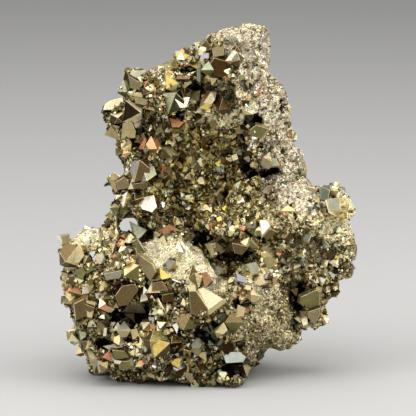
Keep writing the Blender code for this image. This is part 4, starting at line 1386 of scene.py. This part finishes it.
@dataclass
class Openness:
    """Measures how open to the light places on the specimen are.

    A ray starts lift millimetres above its place and goes reach millimetres far. One that
    hits something there counts for near_miss of the share of its way.
    """

    node: bpy.types.Object
    reach: float = 16.0
    rays: int = 14
    lift: float = 0.9
    near_miss: float = 0.5
    tree: BVHTree = field(init=False)
    directions: list[Vector] = field(init=False)

    def __post_init__(self) -> None:
        """Builds the search tree and an even fan of directions."""
        self.tree = BVHTree.FromObject(self.node, bpy.context.evaluated_depsgraph_get())
        self.directions = []
        for index in range(self.rays):
            height = (index + 0.5) / self.rays
            turn = index * math.pi * (3 - math.sqrt(5))
            flat = math.sqrt(1 - height * height)
            self.directions.append(Vector((flat * math.cos(turn), flat * math.sin(turn), height)))

    def nearest(self, points: np.ndarray) -> tuple[np.ndarray, np.ndarray]:
        """Finds the surface nearest to places.

        Args:
            points: Places in metres, one a row.

        Returns:
            The nearest places on the surface and the way that it looks there.
        """
        found = [self.tree.find_nearest(Vector(point))[:2] for point in points]
        return np.array([place for place, _ in found]), np.array([way for _, way in found])

    def measure(self, points: np.ndarray, normals: np.ndarray) -> np.ndarray:
        """Finds the share of the half space above each place that is open.

        Args:
            points: Places in metres, one a row.
            normals: The way that each looks.

        Returns:
            From 0, closed in, to 1, open, one for each place.
        """
        shares = np.empty(len(points))
        up = Vector((0, 0, 1))
        for row, (point, normal) in enumerate(zip(points, normals)):
            way = Vector(normal)
            turn = up.rotation_difference(way)
            start = Vector(point) + way * (self.lift * MM)
            free = 0.0
            for direction in self.directions:
                far = self.tree.ray_cast(start, turn @ direction, self.reach * MM)[3]
                free += 1.0 if far is None else far / (self.reach * MM) * self.near_miss
            shares[row] = free / self.rays
        return shares


@dataclass(frozen=True)
class Relief:
    """How rough a grown or broken surface is, all in millimetres."""

    rise: float = 0.45
    lump_size: float = 4.2
    lump_height: float = 1.3
    grain_size: float = 1.3
    grain_height: float = 0.9
    fine_size: float = 1.4
    fine_height: float = 0.7

    def heights(self, points: np.ndarray) -> np.ndarray:
        """Finds how far places stand out.

        Args:
            points: Places in metres, one a row.

        Returns:
            Heights in millimetres, one for each place.
        """
        raised = np.empty(len(points))
        for row, point in enumerate(points / MM):
            place = Vector(point)
            raised[row] = self.rise + noise.noise(place / self.lump_size) * self.lump_height
            raised[row] += (noise.cell(place / self.grain_size) - 0.5) * self.grain_height
            raised[row] += noise.noise(place / self.fine_size) * self.fine_height
        return raised


@dataclass
class Ground:
    """A rough ground of fine grains that carries crystals.

    It stands for the mass, whose broken faces show between the crystals, or for the crust in
    the hollow. It is tucked in by tuck millimetres under the crystals' faces, and its tints
    have the factor under_crystals, a painted shade between the crystals, where crystals cover
    it. calm_smooth and calm_rim are the shares of its relief that a smooth patch and the
    outline's rim take away. The relief rises from the floor over foot millimetres, and
    crystals start to grow over seat millimetres.
    """

    name: str
    node: bpy.types.Object
    openness: Openness
    relief: Relief
    finish: PyriteFinish
    faceted: FacetedCrystals | None = None
    voxel: float = 1.1
    tuck: float = 1.0
    pit_depth: float = 2.0
    calm_smooth: float = 0.6
    calm_rim: float = 0.5
    foot: tuple[float, float] = (0.0, 1.5)
    seat: tuple[float, float] = (1.0, 3.0)
    under_crystals: float = 0.45
    gloss: tuple[float, float] = (0.30, 0.55)
    seed: int = 23
    mesh: bpy.types.Mesh = field(init=False)
    zones: Zones = field(init=False)
    open_share: np.ndarray = field(init=False)

    def build(self) -> bpy.types.Object:
        """Makes the piece.

        Returns:
            The object, whose mesh carries the weights that the small crystals grow by.
        """
        rough = add_piece(self.name, merged_copy(self.node, self.name))
        remesh = rough.modifiers.new("grain", "REMESH")
        remesh.mode = "VOXEL"
        remesh.voxel_size = self.voxel * MM
        self.mesh = plain_mesh(rough)
        rough.modifiers.clear()
        rough.data = self.mesh
        self._displace()
        self._weigh()
        self._paint()
        self.mesh.materials.clear()
        self.mesh.materials.append(self.finish.build())
        LOG.info("%s: %d faces", self.name, len(self.mesh.polygons))
        return rough

    def _under_crystals(self, points: np.ndarray) -> np.ndarray:
        """Finds which places lie on a crystal's face.

        Args:
            points: Places in metres, one a row.

        Returns:
            1 on a crystal's face and 0 elsewhere, one for each place.
        """
        if self.faceted is None:
            return np.zeros(len(points))
        tree = self.openness.tree
        flags = self.faceted.is_crystal
        return np.array([float(flags[tree.find_nearest(Vector(p))[2]]) for p in points])

    def _displace(self) -> None:
        """Roughens the broken surface, and tucks it in under the crystals' faces."""
        points, normals = vectors(self.mesh, "co"), vectors(self.mesh, "normal")
        covered = self._under_crystals(points)
        self.zones = Zones(display_of(points), normals)
        rough = 1 - self.calm_smooth * self.zones.smooth
        rough *= 1 - self.calm_rim * self.zones.rim
        rise = self.relief.heights(points) * rough * (1 - covered) - self.tuck * covered
        rise += self.zones.swell * (1 - covered) - self.pit_depth * self.zones.pit
        rise -= LOW_DEPTH * self.zones.low
        base = smooth_step(*self.foot, points[:, 2] / MM)
        points += normals * (rise * base * MM)[:, None]
        points[:, 2] = np.maximum(points[:, 2], 0.0)
        move_vertices(self.mesh, points)

    def _weigh(self) -> None:
        """Stores the zones' weights and the openness at the mesh's corners."""
        points, normals = vectors(self.mesh, "co"), vectors(self.mesh, "normal")
        self.open_share = self.openness.measure(points, normals)
        above = smooth_step(*self.seat, points[:, 2] / MM)
        free = above * (1 - self._under_crystals(points))
        grown = free * (1 - self.zones.bare) * (1 - self.zones.pit)
        clear = clear_of_keys(self.zones.display) * np.maximum(1 - self.zones.low, 0)
        weights = {
            "crystal": self.zones.crystal * grown * clear,
            "fine": self.zones.crystal * grown,
            "hollow": self.zones.hollow * grown,
            "granular": self.zones.granular * grown,
            "facets": self.zones.granular * grown * (1 - self.zones.smooth),
            "rim": self.zones.rim,
            "anywhere": free,
            "on_crystals": above * self._under_crystals(points) * clear
            * (1 - self.zones.pit) * (1 - self.zones.smooth),
        }
        for name, values in weights.items():
            layer = self.mesh.attributes.new(name, "FLOAT", "POINT")
            layer.data.foreach_set("value", values.astype(np.float32))

    def _paint(self) -> None:
        """Gives each small face the tint of a grain of its zone."""
        mesh = self.mesh
        count = len(mesh.polygons)
        first = first_vertices(mesh)
        chance = np.random.default_rng(self.seed)
        tints = pick_tints(GRAIN_PALETTE, chance.random(count))
        # outside the granular zones the ground takes a darker tint: painted shade between the
        # crystals
        dark = pick_tints(DRUSE_PALETTE, chance.random(count)) * self.under_crystals
        granular = self.zones.granular[first][:, None]
        tints = tints * granular + dark * (1 - granular)
        tints *= chance.uniform(*TINT_SPREAD, (count, 1))
        # painted shade in closed-in places, and the zones' painted light and shade
        tints = self.zones.dressed(tints, first, painted_cavity_shade(self.open_share))
        paint_faces(mesh, tints, chance.uniform(*self.gloss, count))


KEY_ROOM = (0.9, 1.5)  # the radii of a key facet within which nothing grows, and all may
# painted shade: the open shares with the darkest painted shade and with none
CLOSED_IN, IN_THE_OPEN = 0.20, 0.66  # the open shares with the darkest film and with none


def clear_of_keys(display: np.ndarray) -> np.ndarray:
    """Keeps places behind the key crystals free for them.

    Args:
        display: Places as (u, v, w), one a row.

    Returns:
        0 behind a key crystal and 1 elsewhere, one for each place.
    """
    clear = np.ones(len(display))
    for key in KEY_FACETS:
        reach = np.linalg.norm(display[:, :2] - key.centre(), axis=1) / key.radius()
        clear = np.minimum(clear, smooth_step(*KEY_ROOM, reach))
    return clear


def painted_cavity_shade(open_share: np.ndarray, least: float = 0.14) -> np.ndarray:
    """Darkens closed-in places with painted shade.

    Args:
        open_share: From 0, closed in, to 1, open.
        least: The factor where a place is closed in.

    Returns:
        A factor for the tint.
    """
    return least + (1 - least) * smooth_step(CLOSED_IN, IN_THE_OPEN, open_share)


# ---------------------------------------------------------------- small crystals


# how far the small shapes' corners lie from their middles, for edges of about 1
OCTAHEDRON_REACH, BLOCK_REACH = 0.707, 0.42
CUT_REACH, CUT_WIDTH = 0.60, 0.17
SLAB_SIZES = (0.85, 0.85, 0.45)


class Habit(Enum):
    """The shapes that small crystals and grains take, with edges of about one unit.

    Each is a list of corners, whose hull is the shape.
    """

    OCTAHEDRON = "octahedron"
    CUT_OCTAHEDRON = "octahedron with its points cut off"
    BLOCK = "cube with its corners cut off"
    SLAB = "octahedron pressed flat"
    CHIP = "broken grain"

    def corners(self) -> list[Vector]:
        """Lists the shape's corners.

        Returns:
            The corners.
        """
        ways = ((1, 0, 0), (0, 1, 0), (0, 0, 1))
        axes = [Vector(way) * sign for way in ways for sign in (1, -1)]
        if self is Habit.OCTAHEDRON:
            return [axis * OCTAHEDRON_REACH for axis in axes]
        if self is Habit.CUT_OCTAHEDRON:
            pairs = [(a, b) for a in axes for b in axes if abs(a.dot(b)) < 0.5]
            return [a * CUT_REACH + b * CUT_WIDTH for a, b in pairs]
        if self is Habit.BLOCK:
            return [(a + b) * BLOCK_REACH for a in axes for b in axes if abs(a.dot(b)) < 0.5]
        if self is Habit.SLAB:
            tilt = Matrix.Rotation(math.acos(1 / math.sqrt(3)), 3, Vector((-1, 1, 0)))
            flat = [tilt @ axis for axis in axes]
            return [Vector([a * b for a, b in zip(place, SLAB_SIZES)]) for place in flat]
        return [Vector((a.x * 0.62 + a.y * 0.2, a.y * 0.75, a.z * 0.5 + a.x * 0.18)) for a in axes]


@dataclass
class Growth:
    """Small crystals or grains that cover a carrier where one of its weights says so.

    Spacing and the smallest and largest edge are in millimetres. bias makes large ones rarer.
    sink and rim_sink, added at the outline, are shares of the edge. packing is how many seats
    are tried in a square of the spacing, and stretch the range of each side's factor.
    same_tint is the share of facets that have their crystal's own tint, and tint_seed is
    added to the seed for the draws of tints. brightness is a factor for the tints, painted
    light that lifts the crystals of the hollow, and least_shade is the darkest factor of their
    painted cavity shade.
    """

    name: str
    carrier: bpy.types.Object
    weight: str
    habits: tuple[Habit, ...]
    spacing: float
    edge: tuple[float, float]
    bias: float
    sink: float
    seed: int
    palette: Palette
    finish: PyriteFinish
    openness: Openness
    brightness: float = 1.0
    least_shade: float = 0.14
    rim_sink: float = 0.30
    packing: float = 1.4
    stretch: tuple[float, float] = (0.72, 1.12)
    same_tint: float = 0.4
    tint_seed: int = 40
    gloss: tuple[float, float] = (0.22, 0.42)

    def _seed_crystals(self) -> bpy.types.Collection:
        """Makes the crystals that are repeated.

        Returns:
            A collection of helper objects.
        """
        group = bpy.data.collections.new(self.name + "_seeds")
        for habit in self.habits:
            body = hull_of(habit.corners(), merged=True)
            mesh = bpy.data.meshes.new(habit.value)
            body.to_mesh(mesh)
            body.free()
            group.objects.link(bpy.data.objects.new(f"{len(group.objects)}_{habit.name}", mesh))
        return group

    def _tree(self) -> bpy.types.NodeTree:
        """Writes the node tree that grows the crystals.

        Returns:
            The tree, with its sizes as named inputs.
        """
        tree = bpy.data.node_groups.new(self.name, "GeometryNodeTree")
        face = tree.interface
        face.new_socket("Geometry", in_out="OUTPUT", socket_type="NodeSocketGeometry")
        face.new_socket("Geometry", in_out="INPUT", socket_type="NodeSocketGeometry")
        face.new_socket("Crystals", in_out="INPUT", socket_type="NodeSocketCollection")
        for name in ("Spacing", "Smallest", "Largest", "Bias", "Sink"):
            face.new_socket(name, in_out="INPUT", socket_type="NodeSocketFloat")
        face.new_socket("Seed", in_out="INPUT", socket_type="NodeSocketInt")
        face.new_socket("Material", in_out="INPUT", socket_type="NodeSocketMaterial")
        sheet = NodeSheet(tree)
        given = sheet.node("NodeGroupInput")

        def entry(name: str) -> Value:
            """Returns one of the tree's inputs."""
            return Value(sheet, given.outputs[name])

        weight = sheet.out(
            "GeometryNodeInputNamedAttribute", {"data_type": "FLOAT"}, {"Name": self.weight}
        )
        spread = sheet.node(
            "GeometryNodeDistributePointsOnFaces",
            {"distribute_method": "POISSON"},
            {
                "Mesh": entry("Geometry"),
                "Distance Min": entry("Spacing"),
                "Density Max": self.packing / (entry("Spacing") * entry("Spacing")),
                "Density Factor": weight,
                "Seed": entry("Seed"),
            },
        )
        chance = self._random(sheet, "FLOAT", 0.0, 1.0, entry("Seed") + 1)
        size = entry("Smallest") + chance ** entry("Bias") * (entry("Largest") - entry("Smallest"))
        normal = Value(sheet, spread.outputs["Normal"])
        rim = sheet.out(
            "GeometryNodeInputNamedAttribute", {"data_type": "FLOAT"}, {"Name": "rim"}
        )
        depth = entry("Sink") + rim * self.rim_sink
        offset = sheet.out(
            "ShaderNodeVectorMath", {"operation": "SCALE"},
            {0: normal, "Scale": size * depth * -1.0},
        )
        seats = sheet.out(
            "GeometryNodeSetPosition",
            sockets={"Geometry": Value(sheet, spread.outputs["Points"]), "Offset": offset},
        )
        turn = self._random(
            sheet, "FLOAT_VECTOR", (0.0,) * 3, (math.tau,) * 3, entry("Seed") + 2
        )
        least, most = ((factor,) * 3 for factor in self.stretch)
        shape = self._random(sheet, "FLOAT_VECTOR", least, most, entry("Seed") + 3)
        scale = sheet.out(
            "ShaderNodeVectorMath", {"operation": "SCALE"}, {0: shape, "Scale": size}
        )
        crystals = sheet.out(
            "GeometryNodeCollectionInfo",
            sockets={"Collection": entry("Crystals"), "Separate Children": True},
        )
        choice = self._random(sheet, "INT", 0, len(self.habits) - 1, entry("Seed") + 4)
        grown = sheet.out(
            "GeometryNodeInstanceOnPoints",
            sockets={
                "Points": seats, "Instance": crystals, "Pick Instance": True,
                "Instance Index": choice, "Rotation": turn, "Scale": scale,
            },
        )
        counted = sheet.out(
            "GeometryNodeStoreNamedAttribute",
            {"data_type": "INT", "domain": "INSTANCE"},
            {"Geometry": grown, "Name": "crystal", "Value": sheet.out("GeometryNodeInputIndex")},
        )
        real = sheet.out("GeometryNodeRealizeInstances", sockets={"Geometry": counted})
        dressed = sheet.out(
            "GeometryNodeSetMaterial",
            sockets={"Geometry": real, "Material": entry("Material")},
        )
        sheet.node("NodeGroupOutput", sockets={"Geometry": dressed})
        return tree

    @staticmethod
    def _random(sheet: NodeSheet, kind: str, low: object, high: object, seed: Value) -> Value:
        """Adds a Random Value node.

        Args:
            sheet: The tree's sheet.
            kind: FLOAT, FLOAT_VECTOR or INT.
            low: The lowest value.
            high: The highest value.
            seed: The node's seed.

        Returns:
            The random value.
        """
        node = sheet.node("FunctionNodeRandomValue", {"data_type": kind})
        usable = [socket for socket in node.inputs if socket.enabled]
        usable[0].default_value, usable[1].default_value = low, high
        sheet.tree.links.new(seed.socket, node.inputs["Seed"])
        made = [socket for socket in node.outputs if socket.enabled]
        return Value(sheet, made[0])

    def build(self) -> bpy.types.Object:
        """Makes the piece.

        Returns:
            The object, a plain mesh.
        """
        seeds = self._seed_crystals()
        host = add_piece(self.name, self.carrier.data)
        modifier = host.modifiers.new("growth", "NODES")
        tree = self._tree()
        modifier.node_group = tree
        values = {
            "Crystals": seeds,
            "Spacing": self.spacing * MM,
            "Smallest": self.edge[0] * MM,
            "Largest": self.edge[1] * MM,
            "Bias": self.bias,
            "Sink": self.sink,
            "Seed": self.seed,
            "Material": self.finish.build(),
        }
        for item in tree.interface.items_tree:
            if item.in_out == "INPUT" and item.name in values:
                modifier[item.identifier] = values[item.name]
        mesh = plain_mesh(host)
        host.modifiers.clear()
        host.data = mesh
        for helper in list(seeds.objects):
            bpy.data.objects.remove(helper)
        bpy.data.collections.remove(seeds)
        self._paint(mesh)
        LOG.info("%s: %d faces", self.name, len(mesh.polygons))
        return host

    def _paint(self, mesh: bpy.types.Mesh) -> None:
        """Gives each facet a tint and a gloss of its own.

        Args:
            mesh: The grown mesh, whose corners know their crystal's number.
        """
        owner = numbers(mesh.attributes["crystal"].data, "value")
        crystals = owner.max() + 1
        points = vectors(mesh, "co")
        weights = np.maximum(np.bincount(owner, minlength=crystals), 1)
        centres = np.stack(
            [np.bincount(owner, points[:, axis], crystals) / weights for axis in range(3)], axis=1
        )
        facet_owner = owner[first_vertices(mesh)]
        count = len(mesh.polygons)
        chance = np.random.default_rng(self.seed + self.tint_seed)
        own = chance.random(crystals)[facet_owner]
        mixed = np.where(chance.random(count) < self.same_tint, own, chance.random(count))
        tints = pick_tints(self.palette, mixed) * chance.uniform(*TINT_SPREAD, (count, 1))
        seats, ways = self.openness.nearest(centres)
        # painted shade by how closed in each crystal's seat is, times brightness, painted light
        shade = painted_cavity_shade(self.openness.measure(seats, ways), self.least_shade)
        zones = Zones(display_of(seats), ways)
        tints = zones.dressed(tints, facet_owner, shade * self.brightness)
        paint_faces(mesh, tints, chance.uniform(*self.gloss, count))


# ---------------------------------------------------------------- studio


@dataclass(frozen=True)
class Lamp:
    """A soft square light, placed in display coordinates of the studio, in metres."""

    name: str
    place: tuple[float, float, float]
    size: float
    power: float
    colour: tuple[float, float, float] = (1.0, 0.985, 0.965)


@dataclass
class Studio:
    """The pale floor, the soft lights and the camera.

    centre and width, in millimetres, are what the camera sees of the display plane, from
    distance metres. world is the colour of the light from all round.
    """

    centre: tuple[float, float] = (4.0, 84.0)
    width: float = 208.0
    distance: float = 2.4
    sensor: float = 36.0
    lamps: tuple[Lamp, ...] = (
        Lamp("top", (-0.05, 1.15, 0.15), 1.70, 17.0),
        Lamp("left", (-0.85, 0.60, 0.55), 0.90, 7.0),
        Lamp("right", (0.90, 0.45, 0.25), 0.90, 7.5),
        Lamp("front", (0.10, 0.45, 1.80), 1.60, 7.0),
    )
    reach: float = 50.0
    world: tuple[float, float, float, float] = (0.24, 0.24, 0.2448, 1.0)
    floor_size: float = 6.0
    floor_colour: tuple[float, float, float, float] = (0.50, 0.50, 0.495, 1.0)
    floor_roughness: float = 0.6

    def build(self) -> bpy.types.Object:
        """Makes the studio.

        Returns:
            The floor.
        """
        self._camera()
        for lamp in self.lamps:
            self._lamp(lamp)
        world = bpy.data.worlds.new("studio")
        bpy.context.scene.world = world
        world.use_nodes = True
        backdrop = world.node_tree.nodes["Background"]
        backdrop.inputs["Color"].default_value = self.world
        return self._floor()

    @staticmethod
    def _aim(obj: bpy.types.Object, place: Vector, target: Vector) -> None:
        """Puts an object at a place, looking at a target.

        Args:
            obj: A camera or light.
            place: Where it stands.
            target: What it looks at.
        """
        obj.location = place
        obj.rotation_euler = (target - place).to_track_quat("-Z", "Y").to_euler()

    def _camera(self) -> None:
        """Makes the camera."""
        data = bpy.data.cameras.new("camera")
        camera = bpy.data.objects.new("camera", data)
        bpy.context.scene.collection.objects.link(camera)
        target = to_frame(*self.centre, 0)
        data.sensor_width = self.sensor
        data.lens = self.sensor * self.distance / (self.width * MM)
        data.clip_end = self.reach
        self._aim(camera, target + TO_VIEWER * self.distance, target)
        bpy.context.scene.camera = camera

    def _lamp(self, lamp: Lamp) -> None:
        """Makes one light.

        Args:
            lamp: Its description.
        """
        data = bpy.data.lights.new(lamp.name, "AREA")
        data.size = lamp.size
        data.energy = lamp.power
        data.color = lamp.colour
        obj = bpy.data.objects.new(lamp.name, data)
        bpy.context.scene.collection.objects.link(obj)
        across, up, near = (value / MM for value in lamp.place)
        self._aim(obj, to_frame(across, up, near), to_frame(*self.centre, 0))

    def _floor(self) -> bpy.types.Object:
        """Makes the floor.

        Returns:
            The floor.
        """
        mesh = bpy.data.meshes.new("floor")
        body = bmesh.new()
        bmesh.ops.create_grid(body, x_segments=2, y_segments=2, size=self.floor_size)
        body.to_mesh(mesh)
        body.free()
        floor = add_piece("floor", mesh)
        material = bpy.data.materials.new("floor")
        material.use_nodes = True
        shader = material.node_tree.nodes["Principled BSDF"]
        shader.inputs["Base Color"].default_value = self.floor_colour
        shader.inputs["Roughness"].default_value = self.floor_roughness
        mesh.materials.append(material)
        return floor


# ---------------------------------------------------------------- the specimen


MASS_RELIEF = Relief()
CRUST_RELIEF = Relief(rise=0.1, lump_size=6.0, lump_height=0.8, grain_height=0.5, fine_height=0.4)

SHARP = (Habit.OCTAHEDRON, Habit.CUT_OCTAHEDRON, Habit.BLOCK, Habit.SLAB)
FINE = (Habit.OCTAHEDRON, Habit.SLAB, Habit.CHIP)


def growths_on(
    mass: bpy.types.Object, crust: bpy.types.Object, openness: Openness
) -> tuple[Growth, ...]:
    """Lists the growths of small crystals and grains.

    Args:
        mass: The granular mass.
        crust: The crust in the hollow.
        openness: How open places are.

    Returns:
        The growths.
    """
    return (
        Growth("large_crystals", mass, "crystal", SHARP, 3.4, (3.2, 8.0), 1.8, 0.34, 2,
               CRYSTAL_PALETTE, SMALL_FINISH, openness),
        Growth("medium_crystals", mass, "crystal", SHARP, 2.2, (2.0, 4.6), 1.6, 0.24, 3,
               CRYSTAL_PALETTE, SMALL_FINISH, openness),
        Growth("fine_crystals", mass, "fine", FINE, 1.35, (1.0, 2.4), 1.6, 0.10, 5,
               CRYSTAL_PALETTE, SMALL_FINISH, openness),
        Growth("intergrown_crystals", mass, "on_crystals", SHARP, 2.2, (1.6, 5.0), 1.8, -0.30, 6,
               CRYSTAL_PALETTE, SMALL_FINISH, openness),
        Growth("rim_crystals", mass, "hollow", SHARP, 1.6, (1.3, 4.8), 2.0, 0.16, 7,
               DRUSE_PALETTE, DRUSE_FINISH, openness, 1.2, 0.4),
        Growth("hollow_crystals", crust, "anywhere", SHARP, 1.7, (1.3, 5.2), 2.1, 0.15, 8,
               DRUSE_PALETTE, DRUSE_FINISH, openness, 1.3, 0.5),
        Growth("broken_grains", mass, "granular", (Habit.CHIP, Habit.SLAB), 0.76, (0.5, 1.3),
               2.2, 0.15, 9, GRAIN_PALETTE, GRAIN_FINISH, openness),
        Growth("bright_facets", mass, "facets", SHARP, 4.5, (1.2, 3.2), 2.0, 0.30, 10,
               GRAIN_PALETTE, SMALL_FINISH, openness),
    )


def main() -> None:
    """Builds the specimen and its studio."""
    logging.basicConfig(level=logging.INFO, format="%(name)s: %(message)s")
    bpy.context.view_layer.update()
    cluster, druse = frame["nodes"][CLUSTER], frame["nodes"][DRUSE]

    bpy.context.scene.view_settings.view_transform = "Standard"
    studio = Studio()
    studio.build()

    openness = Openness(cluster)
    faceted = FacetedCrystals(cluster)
    crystals = faceted.build()
    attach(crystals, "root")
    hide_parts(CLUSTER)

    keys = KeyCrystals(openness.tree, studio.centre, studio.distance).build()
    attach(keys, "root")

    mass = Ground("granular_mass", cluster, openness, MASS_RELIEF, GRAIN_FINISH, faceted).build()
    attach(mass, "root")
    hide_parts(CLUSTER)

    crust = Ground("druse_crust", druse, openness, CRUST_RELIEF, DRUSE_FINISH, voxel=0.7).build()
    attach(crust, "root")
    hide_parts(DRUSE)

    for growth in growths_on(mass, crust, openness):
        piece = growth.build()
        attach(piece, "root")


if __name__ == "__main__":
    main()
